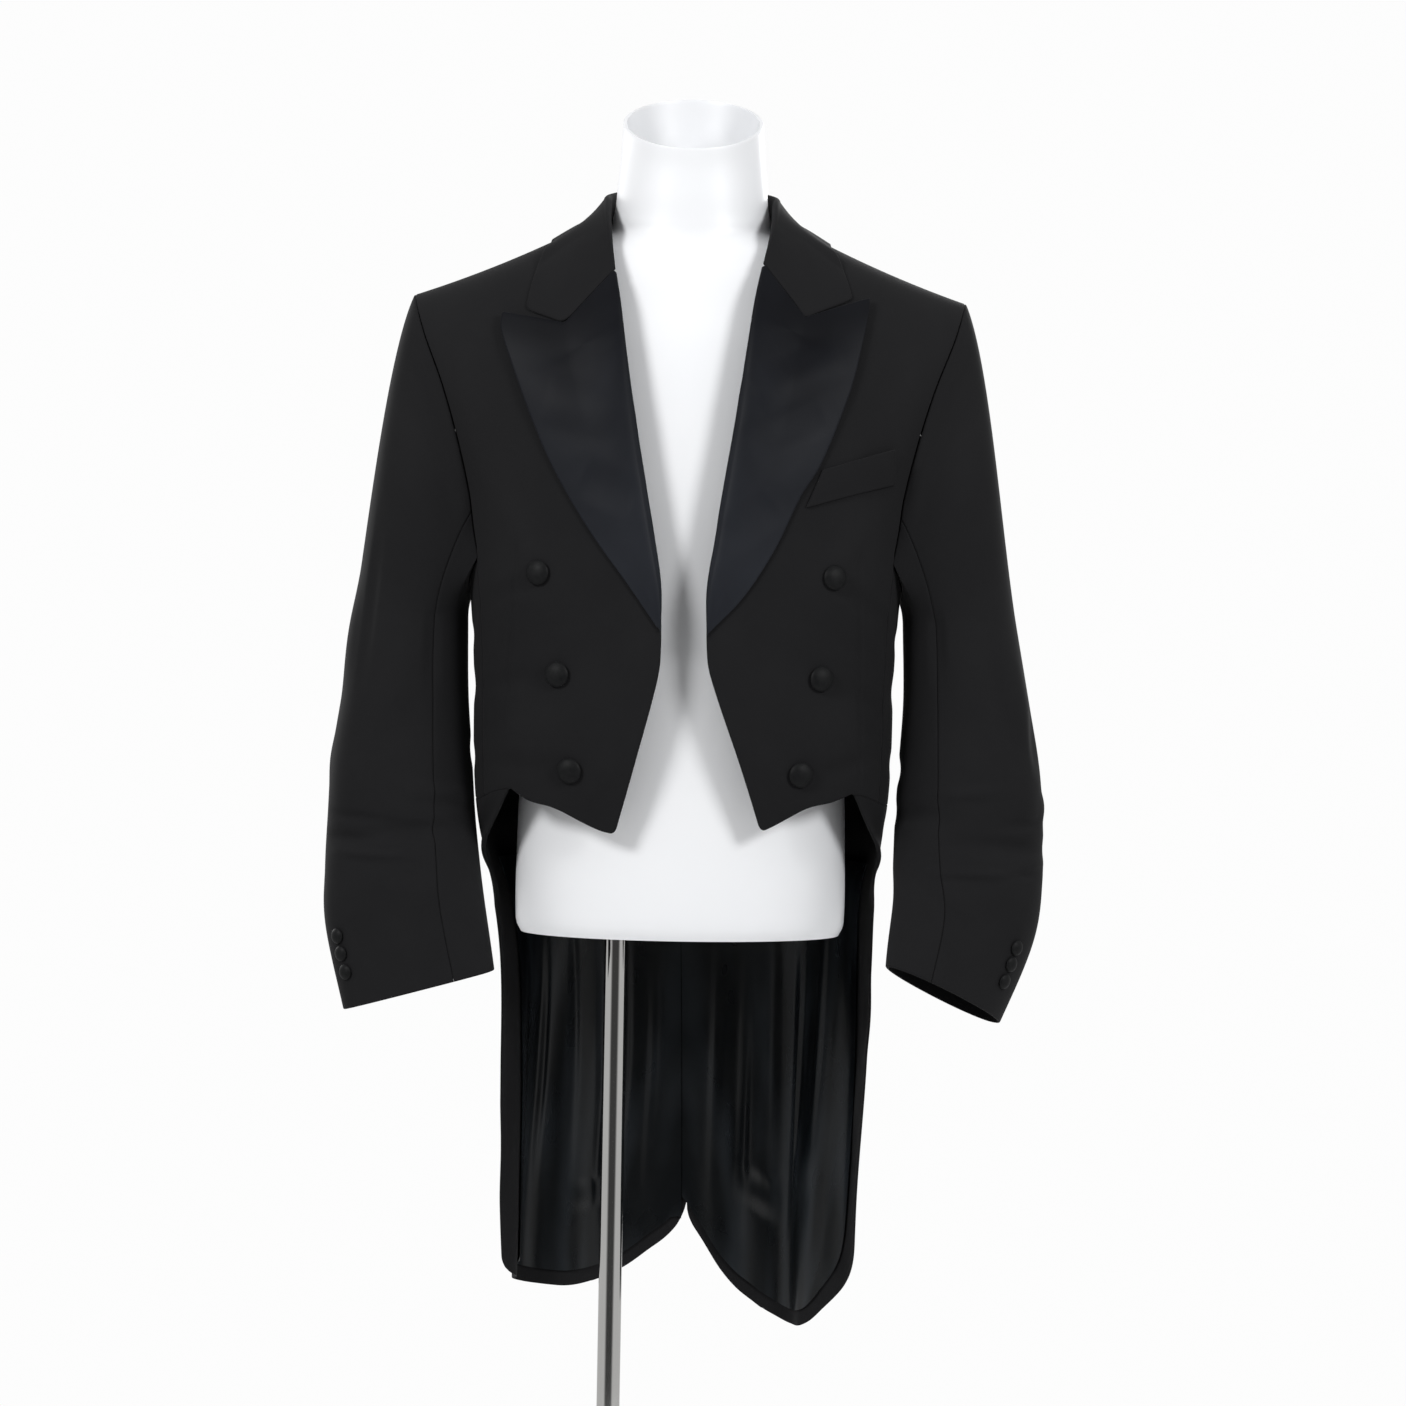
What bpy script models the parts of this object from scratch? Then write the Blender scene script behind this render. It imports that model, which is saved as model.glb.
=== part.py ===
"""White tie tailcoat worn by a limbless display form. Metres, +Z up, +X the wearer's left, +Y the back.

The origin lies on the floor below the middle of the coat. Cloth is a thin wall on one body surface, which
is worked out from the section tables below; each panel is a patch of it between its seams.
"""

import math
from collections import namedtuple

import bmesh
import bpy
from mathutils import Vector

CLOTH_WALL = 0.0020
LINING_WALL = 0.0010
LAPEL_WALL = 0.0022
SEAM_GAP = 0.0004
WAIST_GAP = 0.0011
LAY_GAP = 0.0006
LINING_GAP = 0.0016
LINING_HEM_RISE = 0.014
LINING_TOP_DROP = 0.055

CHEST_HEIGHT = 1.220
SHOULDER_TIP_X = 0.238
SHOULDER_TIP_HEIGHT = 1.400
NECK_POINT_X = 0.077
NECK_POINT_HEIGHT = 1.469
NAPE_HEIGHT = 1.466
SHOULDER_SAG = 0.0045
SHOULDER_ROUNDNESS = 2.3
RIDGE_CROWDING = 1.6
HIGHEST_NORMAL = 1.460

ARMHOLE_BASE_HEIGHT = 1.150
ARMHOLE_CORNER_HEIGHT = 1.168
ARMHOLE_CORNER_TURN = math.radians(148)
FRONT_SEAM_ANGLE = math.radians(67.5)
UNDERARM_HALF_ANGLE = math.pi / 2 - FRONT_SEAM_ANGLE
SIDE_SEAM_TURN = 0.0015

WAIST_HEIGHT = 0.965
WAIST_FRONT_RISE = 0.010
WAIST_FRONT_ANGLE = math.radians(51)
WAIST_LEVEL_ANGLE = math.radians(78)

FRONT_BUTTON_RADIUS = 0.0105
FRONT_BUTTON_HEIGHT = 0.0056
CUFF_BUTTON_RADIUS = 0.0066
CUFF_BUTTON_HEIGHT = 0.0040
FRONT_BUTTON_LIFT = 0.0008
CUFF_BUTTON_LIFT = 0.0001

FORM_WALL = 0.0030
FORM_BOTTOM_HEIGHT = 0.850
POLE_X = -0.055
POLE_RADIUS = 0.010
BASE_RADIUS = 0.180
BASE_HEIGHT = 0.008
BASE_EDGE = 0.002

# Coat sections: half width, depth in front of and behind the side line, squareness of the oval and
# sideways shift
Section = namedtuple("Section", "height half_width front back squareness shift")
COAT_SECTIONS = [
    Section(0.460, 0.162, 0.090, 0.128, 2.7, -0.002),
    Section(0.600, 0.162, 0.090, 0.134, 2.7, 0.000),
    Section(0.720, 0.164, 0.092, 0.140, 2.6, 0.005),
    Section(0.820, 0.165, 0.096, 0.145, 2.6, 0.006),
    Section(0.900, 0.168, 0.102, 0.147, 2.5, 0.002),
    Section(0.940, 0.175, 0.107, 0.146, 2.4, 0.000),
    Section(0.970, 0.179, 0.112, 0.142, 2.4, 0.000),
    Section(1.010, 0.181, 0.117, 0.138, 2.4, 0.000),
    Section(1.080, 0.182, 0.122, 0.138, 2.4, 0.000),
    Section(1.150, 0.187, 0.124, 0.141, 2.4, 0.000),
    Section(1.220, 0.197, 0.121, 0.142, 2.4, 0.000),
    Section(1.270, 0.214, 0.118, 0.142, 2.4, 0.000),
    Section(1.320, 0.237, 0.116, 0.140, 2.4, 0.000),
    Section(1.360, 0.260, 0.115, 0.138, 2.4, 0.000),
    Section(1.400, 0.280, 0.114, 0.136, 2.4, 0.000),
    Section(1.480, 0.300, 0.113, 0.134, 2.4, 0.000),
]

# How far the armhole seam lies from the middle
Armhole = namedtuple("Armhole", "height x")
ARMHOLE = [
    Armhole(1.168, 0.1750),
    Armhole(1.195, 0.1800),
    Armhole(1.225, 0.1840),
    Armhole(1.272, 0.1950),
    Armhole(1.318, 0.2090),
    Armhole(1.362, 0.2260),
    Armhole(1.400, 0.2380),
]

# Front edge and, above the top button, the roll line of the lapel
FrontEdge = namedtuple("FrontEdge", "height left right")
FRONT_EDGE = [
    FrontEdge(0.940, 0.0680, 0.0540),
    FrontEdge(1.000, 0.0480, 0.0380),
    FrontEdge(1.060, 0.0265, 0.0225),
    FrontEdge(1.085, 0.0200, 0.0185),
    FrontEdge(1.134, 0.0196, 0.0196),
    FrontEdge(1.175, 0.0265, 0.0268),
    FrontEdge(1.216, 0.0325, 0.0340),
    FrontEdge(1.257, 0.0390, 0.0415),
    FrontEdge(1.298, 0.0455, 0.0485),
    FrontEdge(1.341, 0.0515, 0.0550),
    FrontEdge(1.384, 0.0575, 0.0610),
    FrontEdge(1.410, 0.0625, 0.0655),
    FrontEdge(1.440, 0.0690, 0.0700),
    FrontEdge(1.469, 0.0770, 0.0770),
]

# Lower edge of each front, from its point to the waist seam
FrontHem = namedtuple("FrontHem", "x left right")
FRONT_HEM = [
    FrontHem(0.050, 0.9460, 0.9390),
    FrontHem(0.068, 0.9440, 0.9430),
    FrontHem(0.105, 0.9630, 0.9600),
    FrontHem(0.128, 0.9690, 0.9660),
    FrontHem(0.1445, 0.9760, 0.9760),
]

# Where the side seam of the back runs, from the armhole into the tail
BackSeam = namedtuple("BackSeam", "height x")
BACK_SEAM = [
    BackSeam(0.480, 0.0800),
    BackSeam(0.700, 0.0700),
    BackSeam(0.900, 0.0560),
    BackSeam(0.965, 0.0520),
    BackSeam(1.010, 0.0620),
    BackSeam(1.060, 0.0880),
    BackSeam(1.110, 0.1260),
    BackSeam(1.145, 0.1560),
    BackSeam(1.168, 0.1750),
]

# Front edge of the skirts as an angle from the front, and the width of the cloth facing inside it
SkirtEdge = namedtuple("SkirtEdge", "height angle facing")
SKIRT_EDGE = [
    SkirtEdge(0.500, 107, 12),
    SkirtEdge(0.600, 103, 11),
    SkirtEdge(0.720, 100, 13),
    SkirtEdge(0.820, 97, 15),
    SkirtEdge(0.870, 92, 17),
    SkirtEdge(0.905, 83, 19),
    SkirtEdge(0.930, 72, 21),
    SkirtEdge(0.955, 59, 22),
    SkirtEdge(0.975, 51, 22),
]

# Middle vent and hem of the tails
Vent = namedtuple("Vent", "height x")
VENT = [Vent(0.480, 0.0110), Vent(0.600, 0.0100), Vent(0.800, 0.0060), Vent(0.965, 0.0000)]
TailHem = namedtuple("TailHem", "x left right")
TAIL_HEM = [
    TailHem(-0.020, 0.6000, 0.6000),
    TailHem(0.000, 0.5860, 0.5660),
    TailHem(0.025, 0.5560, 0.5435),
    TailHem(0.045, 0.5290, 0.5280),
    TailHem(0.065, 0.5070, 0.5205),
    TailHem(0.085, 0.4900, 0.5170),
    TailHem(0.107, 0.4820, 0.5155),
    TailHem(0.130, 0.4900, 0.5200),
    TailHem(0.150, 0.5160, 0.5330),
    TailHem(0.170, 0.5600, 0.5600),
]

# Soft folds of the tails, deepest at the hem: middle and width as angles, depth outwards
TailFold = namedtuple("TailFold", "angle width left right")
TAIL_FOLDS = [
    TailFold(169, 10, -0.0060, 0.0050),
    TailFold(151, 14, 0.0090, -0.0080),
    TailFold(131, 15, -0.0080, 0.0100),
    TailFold(112, 13, 0.0070, -0.0100),
]

# Outline of each lapel in front view, from its lowest point round the outside to the top of the roll line
LapelEdge = namedtuple("LapelEdge", "part left_x left_height right_x right_height")
LAPEL_EDGE = [
    LapelEdge("outer", 0.0225, 1.1090, 0.0225, 1.1120),
    LapelEdge("outer", 0.0480, 1.1360, 0.0480, 1.1480),
    LapelEdge("outer", 0.0740, 1.1770, 0.0740, 1.1830),
    LapelEdge("outer", 0.0944, 1.2210, 0.0960, 1.2170),
    LapelEdge("outer", 0.1105, 1.2480, 0.1140, 1.2500),
    LapelEdge("outer", 0.1330, 1.3070, 0.1300, 1.2870),
    LapelEdge("outer", 0.1420, 1.3427, 0.1460, 1.3290),
    LapelEdge("outer", 0.1495, 1.3800, 0.1565, 1.3600),
    LapelEdge("tip", 0.1500, 1.3905, 0.1555, 1.3730),
    LapelEdge("gorge", 0.0960, 1.3720, 0.1030, 1.3640),
    LapelEdge("top", 0.0640, 1.4160, 0.0675, 1.4090),
]
LAPEL_BELLY = 0.0045
LAPEL_LIFT = 0.0010
LAPEL_START_DROP = 0.004
LAPEL_PAST_ROLL = 0.0012

# Collar, from its front corner round to the middle of the back: its fold, its outer edge on the coat,
# and the foot of its stand inside the neck
CollarFold = namedtuple("CollarFold", "share x y height")
COLLAR_FOLD = [
    CollarFold(0.24, 0.0696, -0.0560, 1.4550),
    CollarFold(0.42, 0.0722, -0.0220, 1.4810),
    CollarFold(0.58, 0.0722, 0.0180, 1.4950),
    CollarFold(0.78, 0.0520, 0.0620, 1.5080),
    CollarFold(1.00, 0.0000, 0.0800, 1.5120),
]
CollarEdge = namedtuple("CollarEdge", "share x left right back")
COLLAR_EDGE = [
    CollarEdge(0.00, 0.1370, 1.3900, 1.3760, False),
    CollarEdge(0.20, 0.1300, 1.4140, 1.4120, False),
    CollarEdge(0.38, 0.1200, 1.4380, 1.4380, False),
    CollarEdge(0.62, 0.1040, 1.4400, 1.4400, True),
    CollarEdge(0.80, 0.0600, 1.4460, 1.4460, True),
    CollarEdge(1.00, 0.0000, 1.4480, 1.4480, True),
]
COLLAR_WALL = 0.0020
COLLAR_FOLD_HALF = 0.0032
COLLAR_FOLD_LEAST = 0.0006
COLLAR_EXTRA_LIFT = 0.0010
COLLAR_STAND_LEAST = 0.0011
COLLAR_FOOT_HEIGHT = 1.4710
COLLAR_BELLY = 0.0012
GORGE_GAP = 0.0020
GORGE_ROLL_RISE = 0.0050
GORGE_ROLL_IN = 0.0040
COLLAR_FALL_STEPS = (0.12, 0.34, 0.56, 0.78, 1.0)

# Breast pocket welt, wearer's left: lower and upper edge at each end
WELT_ENDS = {"inner": (0.0985, 1.2120, 0.1120, 1.2440), "outer": (0.1745, 1.2360, 0.1735, 1.2650)}
WELT_WALL = 0.0016

# Rings of each sleeve below the armhole: middle, half width and depth, droop of the outer side and
# turn to the front
Ring = namedtuple("Ring", "x y height half_width half_depth droop turn")
SLEEVE_RINGS = {
    "left": [
        Ring(0.2385, -0.004, 1.120, 0.0490, 0.064, 2, 0),
        Ring(0.2450, -0.007, 1.055, 0.0542, 0.061, 2, 0),
        Ring(0.2480, -0.011, 1.000, 0.0605, 0.057, 2, 2),
        Ring(0.2480, -0.018, 0.950, 0.0638, 0.052, 3, 5),
        Ring(0.2465, -0.030, 0.910, 0.0650, 0.047, 6, 10),
        Ring(0.2420, -0.046, 0.868, 0.0650, 0.041, 14, 20),
        Ring(0.2230, -0.072, 0.808, 0.0635, 0.027, 25, 34),
    ],
    "right": [
        Ring(0.2375, -0.004, 1.120, 0.0490, 0.064, 2, 0),
        Ring(0.2410, -0.007, 1.055, 0.0542, 0.061, 2, 0),
        Ring(0.2425, -0.011, 1.000, 0.0602, 0.057, 2, 1),
        Ring(0.2412, -0.018, 0.950, 0.0632, 0.052, 2, 2),
        Ring(0.2385, -0.030, 0.910, 0.0662, 0.046, 5, 4),
        Ring(0.2338, -0.044, 0.868, 0.0690, 0.040, 9, 6),
        Ring(0.2185, -0.064, 0.804, 0.0675, 0.025, 16, 9),
    ],
}
TAIL_ROWS, BODY_ROWS, SHOULDER_ROWS = 10, 10, 9
CAP_SHARE = 0.40
SLEEVE_SQUARENESS = 2.15
SLEEVE_HEAD_GAP = 0.0017
SLEEVE_HEAD_EXTRA_GAP = 0.0009
# How the sleeve leaves the armhole seam at its head, at the underarm and at its front and back
HEAD_LEAVES = Vector((0.36, 0, -0.93))
UNDERARM_LEAVES = Vector((0.20, 0, -1.0))
SIDE_LEAVES_OUT = 0.45
SIDE_LEAVES_IN = -0.12
SIDE_LEAVES_UP = 0.25
FRONT_SLEEVE_SEAM = 122
HIND_SLEEVE_SEAM_TOP = -78
HIND_SLEEVE_SEAM_CUFF = 4

# Creases of the sleeves: place round the arm and down it, half lengths, depth
Crease = namedtuple("Crease", "around down half_around half_down depth")
SLEEVE_CREASES = {
    "left": [
        Crease(60, 0.74, 70, 0.030, -0.0045),
        Crease(150, 0.69, 60, 0.030, -0.0040),
        Crease(40, 0.50, 25, 0.080, 0.0030),
    ],
    "right": [
        Crease(110, 0.73, 70, 0.030, -0.0040),
        Crease(20, 0.42, 25, 0.090, 0.0030),
    ],
}

FrontButton = namedtuple("FrontButton", "height left right")
FRONT_BUTTONS = [
    FrontButton(1.1555, 0.1235, 0.1210),
    FrontButton(1.0715, 0.1140, 0.1035),
    FrontButton(0.9920, 0.0985, 0.0922),
]
CUFF_BUTTON_PLACES = (0.918, 0.939, 0.960)
CUFF_BUTTON_AROUND = {"left": 58, "right": 40}

# Display form: half width, depths, middle front to back, fall of the ring from back to front
FormRing = namedtuple("FormRing", "height half_width front back middle fall")
FORM_RINGS = [
    FormRing(0.850, 0.1380, 0.0800, 0.0900, 0.000, 0.00),
    FormRing(0.860, 0.1425, 0.0840, 0.0950, 0.000, 0.00),
    FormRing(0.930, 0.1425, 0.0860, 0.0980, 0.000, 0.00),
    FormRing(1.010, 0.1410, 0.0880, 0.0980, 0.000, 0.00),
    FormRing(1.100, 0.1480, 0.0940, 0.1020, 0.000, 0.00),
    FormRing(1.200, 0.1620, 0.0960, 0.1080, 0.000, 0.00),
    FormRing(1.290, 0.1740, 0.0900, 0.1080, 0.000, 0.00),
    FormRing(1.350, 0.1780, 0.0820, 0.0960, 0.000, 0.00),
    FormRing(1.385, 0.1760, 0.0740, 0.0840, 0.000, 0.00),
    FormRing(1.410, 0.1690, 0.0690, 0.0740, 0.000, 0.00),
    FormRing(1.432, 0.1455, 0.0640, 0.0660, 0.000, 0.06),
    FormRing(1.454, 0.0780, 0.0610, 0.0600, 0.000, 0.17),
    FormRing(1.472, 0.0680, 0.0595, 0.0575, -0.002, 0.26),
    FormRing(1.500, 0.0645, 0.0590, 0.0560, -0.005, 0.40),
    FormRing(1.530, 0.0618, 0.0590, 0.0560, -0.008, 0.52),
    FormRing(1.552, 0.0605, 0.0600, 0.0560, -0.011, 0.60),
]

MATERIALS = {
    "wool": ((0.013, 0.013, 0.014), 0.85, 0.0),
    "satin": ((0.020, 0.022, 0.026), 0.38, 0.0),
    "lining": ((0.004, 0.005, 0.007), 0.25, 0.0),
    "form_plastic": ((0.86, 0.87, 0.88), 0.40, 0.0),
    "chrome": ((0.80, 0.80, 0.80), 0.12, 1.0),
    "base_steel": ((0.62, 0.62, 0.63), 0.28, 1.0),
}


# Smooth curve through values at rising keys
def through(keys, values, place):
    if place <= keys[0]:
        return values[0]
    if place >= keys[-1]:
        return values[-1]
    i = next(k for k in range(len(keys) - 1) if place <= keys[k + 1])

    def slope(k):
        low, high = max(k - 1, 0), min(k + 1, len(keys) - 1)
        return (values[high] - values[low]) / (keys[high] - keys[low])

    span = keys[i + 1] - keys[i]
    t = (place - keys[i]) / span
    start, end = values[i], values[i + 1]
    return (
        (2 * t**3 - 3 * t**2 + 1) * start
        + (t**3 - 2 * t**2 + t) * span * slope(i)
        + (3 * t**2 - 2 * t**3) * end
        + (t**3 - t**2) * span * slope(i + 1)
    )


def column(table, key, field, place):
    return through([getattr(row, key) for row in table], [getattr(row, field) for row in table], place)


# Smooth line through points, as a function of the share of its length
def line_through(points):
    lengths = [0.0]
    for start, end in zip(points, points[1:]):
        lengths.append(lengths[-1] + math.dist(start, end))
    shares = [length / lengths[-1] for length in lengths]

    def place(t):
        return tuple(through(shares, [point[k] for point in points], t) for k in range(len(points[0])))

    return place


def smooth(t):
    t = min(max(t, 0.0), 1.0)
    return t * t * (3 - 2 * t)


# One soft fold: 1 at its middle, 0 past its width
def bump(distance, width):
    t = abs(distance) / width
    return 0.0 if t >= 1 else (1 - t * t) ** 2


def shoulder_height(x):
    share = (abs(x) - NECK_POINT_X) / (SHOULDER_TIP_X - NECK_POINT_X)
    sag = SHOULDER_SAG * 4 * share * (1 - share) if 0 < share < 1 else 0.0
    return NECK_POINT_HEIGHT + (SHOULDER_TIP_HEIGHT - NECK_POINT_HEIGHT) * share - sag


# Angle from the front at which the coat's section is x from the middle
def angle_at(x, height, back=False):
    width = column(COAT_SECTIONS, "height", "half_width", height)
    power = column(COAT_SECTIONS, "height", "squareness", height)
    share = min(max(x / width, -1.0), 1.0)
    angle = math.asin(math.copysign(abs(share) ** (power / 2), share))
    return math.pi - angle if back else angle


def x_at(angle, height):
    width = column(COAT_SECTIONS, "height", "half_width", height)
    power = column(COAT_SECTIONS, "height", "squareness", height)
    return width * abs(math.sin(angle)) ** (2 / power)


def tail_fold(side, angle, height):
    growth = smooth((0.93 - height) / 0.36)
    folds = sum(
        getattr(fold, side) * bump(math.degrees(angle) - fold.angle, fold.width) for fold in TAIL_FOLDS
    )
    return folds * growth


# Outer surface of the coat's body. The wearer's left is the side of +X.
def body_point(side, angle, height):
    sign = 1 if side == "left" else -1
    width, front, back, power, shift = (
        column(COAT_SECTIONS, "height", field, height)
        for field in ("half_width", "front", "back", "squareness", "shift")
    )
    sine, cosine = math.sin(angle), math.cos(angle)
    fold = tail_fold(side, angle, height) if height < WAIST_HEIGHT else 0.0
    x = (width + fold) * math.copysign(abs(sine) ** (2 / power), sine)
    depth = (front if cosine > 0 else back) * abs(cosine) ** (2 / power)
    depth += fold * abs(cosine)
    if height > CHEST_HEIGHT:
        rise = min((height - CHEST_HEIGHT) / (shoulder_height(x) - CHEST_HEIGHT), 1.0)
        depth *= (1 - rise**SHOULDER_ROUNDNESS) ** (1 / SHOULDER_ROUNDNESS)
    return Vector((sign * x + shift, -depth if cosine > 0 else depth, height))


def body_normal(side, angle, height):
    step = 0.002
    below = min(height, HIGHEST_NORMAL)
    across = body_point(side, angle + step, below) - body_point(side, angle - step, below)
    upward = body_point(side, angle, below + step) - body_point(side, angle, below - step)
    normal = across.cross(upward).normalized()
    outside = Vector((0, 0, below))
    return normal if normal.dot(body_point(side, angle, below) - outside) > 0 else -normal


def body_lifted(side, angle, height, lift):
    return body_point(side, angle, height) + body_normal(side, angle, height) * lift


# Below 0 inside the coat's body and above 0 outside it
def outside_body(place):
    x, height = abs(place.x), place.z
    width, front, back, power = (
        column(COAT_SECTIONS, "height", field, height)
        for field in ("half_width", "front", "back", "squareness")
    )
    depth = (front if place.y < 0 else back) * max(1 - min(x / width, 1.0) ** power, 1e-6) ** (1 / power)
    rise = max(height - CHEST_HEIGHT, 0) / (shoulder_height(x) - CHEST_HEIGHT)
    return (abs(place.y) / depth) ** SHOULDER_ROUNDNESS + rise**SHOULDER_ROUNDNESS - 1


# Moves a point out until it lies at least lift off the coat's body
def clear_of_body(place, lift):
    step = 0.0003
    axes = (Vector((1, 0, 0)), Vector((0, 1, 0)), Vector((0, 0, 1)))
    for _ in range(6):
        value = outside_body(place)
        slope = Vector([(outside_body(place + axis * step) - value) / step for axis in axes])
        apart = value / slope.length
        if apart >= lift:
            break
        place = place + slope.normalized() * (lift - apart)
    return place


def front_lifted(side, x, height, lift):
    return body_lifted(side, angle_at(x, height), height, lift)


# Patch between four edges, each a function that gives (distance from the middle, height)
def coons(inner, outer, bottom, top):
    corners = (bottom(0), bottom(1), top(0), top(1))

    def place(u, v):
        sides = (inner(v), outer(v), bottom(u), top(u))
        return tuple(
            (1 - u) * sides[0][k]
            + u * sides[1][k]
            + (1 - v) * sides[2][k]
            + v * sides[3][k]
            - (1 - u) * (1 - v) * corners[0][k]
            - u * (1 - v) * corners[1][k]
            - (1 - u) * v * corners[2][k]
            - u * v * corners[3][k]
            for k in (0, 1)
        )

    return place


def material(name):
    found = bpy.data.materials.get(name)
    if found:
        return found
    color, roughness, metallic = MATERIALS[name]
    made = bpy.data.materials.new(name)
    made.use_nodes = True
    shader = made.node_tree.nodes["Principled BSDF"]
    shader.inputs["Base Color"].default_value = (*color, 1.0)
    shader.inputs["Roughness"].default_value = roughness
    shader.inputs["Metallic"].default_value = metallic
    return made


def add_object(name, mesh, finish, parts):
    made = bpy.data.objects.new(name, mesh)
    mesh.materials.append(material(finish))
    parts.objects.link(made)
    mesh.shade_smooth()
    mesh.set_sharp_from_angle(angle=math.radians(50))
    return made


# Direction square to a surface of points, not yet turned outwards
def square_to(point, u, v):
    step = 0.003
    across = point(u + step, v) - point(u - step, v)
    upward = point(u, min(v + step, 1.0)) - point(u, v - step if v > 0.5 else v)
    return across.cross(upward).normalized()


# Cloth wall: a flat slab of quads laid on the surface of points, its lower face one wall behind them
def add_sheet(name, point, columns, rows, wall, finish, parts, facing):
    mesh = bpy.data.meshes.new(name)
    shape = bmesh.new()
    bmesh.ops.create_grid(shape, x_segments=columns, y_segments=rows, size=0.5)
    lifted = bmesh.ops.extrude_face_region(shape, geom=shape.faces[:])["geom"]
    raised = [vertex for vertex in lifted if isinstance(vertex, bmesh.types.BMVert)]
    bmesh.ops.translate(shape, verts=raised, vec=(0, 0, 1))
    middle = point(0.5, 0.6)
    turned = 1 if square_to(point, 0.5, 0.6).dot(facing(middle)) > 0 else -1
    for vertex in shape.verts:
        u, v, behind = vertex.co.x + 0.5, vertex.co.y + 0.5, 1 - vertex.co.z
        vertex.co = point(u, v)
        if behind > 0.5:
            vertex.co -= square_to(point, u, v) * wall * turned
    if shape.calc_volume(signed=True) < 0:
        bmesh.ops.reverse_faces(shape, faces=shape.faces)
    shape.to_mesh(mesh)
    shape.free()
    return add_object(name, mesh, finish, parts)


def away_from_body(place):
    return Vector((place.x, place.y, 0))


def up_and_out(place):
    return Vector((place.x, place.y, max(place.z - CHEST_HEIGHT, 0)))


# Even rows up to the chest, then rows that follow the round of the shoulder and crowd at its ridge
def rows_to_shoulder(split):
    def rise(v):
        v = min(v, 1.0)
        if v <= split:
            return v
        turn = (1 - (1 - (v - split) / (1 - split)) ** RIDGE_CROWDING) * math.pi / 2
        return split + (1 - split) * math.sin(turn) ** (2 / SHOULDER_ROUNDNESS)

    return rise


def waist_height(angle):
    share = (WAIST_LEVEL_ANGLE - angle) / (WAIST_LEVEL_ANGLE - WAIST_FRONT_ANGLE)
    return WAIST_HEIGHT + WAIST_FRONT_RISE * smooth(share)


def armhole_height(angle):
    share = (angle - math.pi / 2) / UNDERARM_HALF_ANGLE
    rise = ARMHOLE_CORNER_HEIGHT - ARMHOLE_BASE_HEIGHT
    return ARMHOLE_BASE_HEIGHT + rise * min(share * share, 1.0)


def armhole_angle(height, back):
    return angle_at(column(ARMHOLE, "height", "x", height), height, back)


# Armhole seam as (angle, height), turning from the shoulder tip at 0 over the front to the underarm at pi
def armhole_place(turn):
    back = math.sin(turn) < 0
    half = abs(math.remainder(turn, 2 * math.pi))
    if half <= ARMHOLE_CORNER_TURN:
        drop = (1 - math.cos(half)) / (1 - math.cos(ARMHOLE_CORNER_TURN))
        height = SHOULDER_TIP_HEIGHT + (ARMHOLE_CORNER_HEIGHT - SHOULDER_TIP_HEIGHT) * drop
        return armhole_angle(height, back), height
    share = (half - ARMHOLE_CORNER_TURN) / (math.pi - ARMHOLE_CORNER_TURN)
    angle = FRONT_SEAM_ANGLE + UNDERARM_HALF_ANGLE * share
    if back:
        angle = math.pi - angle
    return angle, armhole_height(angle)


def front_panel(side, parts):
    chest = 0.52
    point_x = column(FRONT_EDGE, "height", side, FRONT_EDGE[0].height)
    point_height = column(FRONT_HEM, "x", side, point_x)
    side_angle = FRONT_SEAM_ANGLE - SIDE_SEAM_TURN
    top_height = NECK_POINT_HEIGHT

    def inner(v):
        if v <= chest:
            height = point_height + (CHEST_HEIGHT - point_height) * v / chest
        else:
            height = CHEST_HEIGHT + (top_height - CHEST_HEIGHT) * (v - chest) / (1 - chest)
        return column(FRONT_EDGE, "height", side, height), height

    def outer(v):
        bottom_height = waist_height(side_angle) + WAIST_GAP
        if v <= chest:
            height = bottom_height + (ARMHOLE_CORNER_HEIGHT - bottom_height) * v / chest
            return x_at(side_angle, height), height
        share = (v - chest) / (1 - chest)
        height = ARMHOLE_CORNER_HEIGHT + (SHOULDER_TIP_HEIGHT - ARMHOLE_CORNER_HEIGHT) * share
        return column(ARMHOLE, "height", "x", height), height

    def bottom(u):
        x = point_x + (outer(0)[0] - point_x) * u
        if x >= FRONT_HEM[-1].x:
            return x, waist_height(angle_at(x, WAIST_HEIGHT)) + WAIST_GAP
        return x, column(FRONT_HEM, "x", side, x)

    def top(u):
        x = NECK_POINT_X + (SHOULDER_TIP_X - NECK_POINT_X) * u
        return x, shoulder_height(x)

    place = coons(inner, outer, bottom, top)
    rise = rows_to_shoulder(chest)

    def point(u, v):
        x, height = place(u, rise(v))
        made = body_point(side, angle_at(x, height), height)
        made.y -= SEAM_GAP / 2
        return made

    return add_sheet(f"front_{side}", point, 10, 18, CLOTH_WALL, "wool", parts, up_and_out)


def side_panel(side, parts):
    def back_angle(height):
        seam = angle_at(column(BACK_SEAM, "height", "x", height) + SEAM_GAP, height, True)
        return seam - SIDE_SEAM_TURN

    def point(u, v):
        guess = WAIST_HEIGHT + (ARMHOLE_CORNER_HEIGHT - WAIST_HEIGHT) * v
        start, end = FRONT_SEAM_ANGLE + SIDE_SEAM_TURN, back_angle(guess)
        angle = start + (end - start) * u
        top = armhole_height(angle) if angle < math.pi - FRONT_SEAM_ANGLE else ARMHOLE_CORNER_HEIGHT
        bottom = waist_height(angle) + WAIST_GAP
        return body_point(side, angle, bottom + (top - bottom) * v)

    return add_sheet(f"side_{side}", point, 8, BODY_ROWS, CLOTH_WALL, "wool", parts, away_from_body)


def middle_x(side, height):
    vent = column(VENT, "height", "x", height) - column(COAT_SECTIONS, "height", "shift", height)
    return vent if side == "left" else -vent


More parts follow.
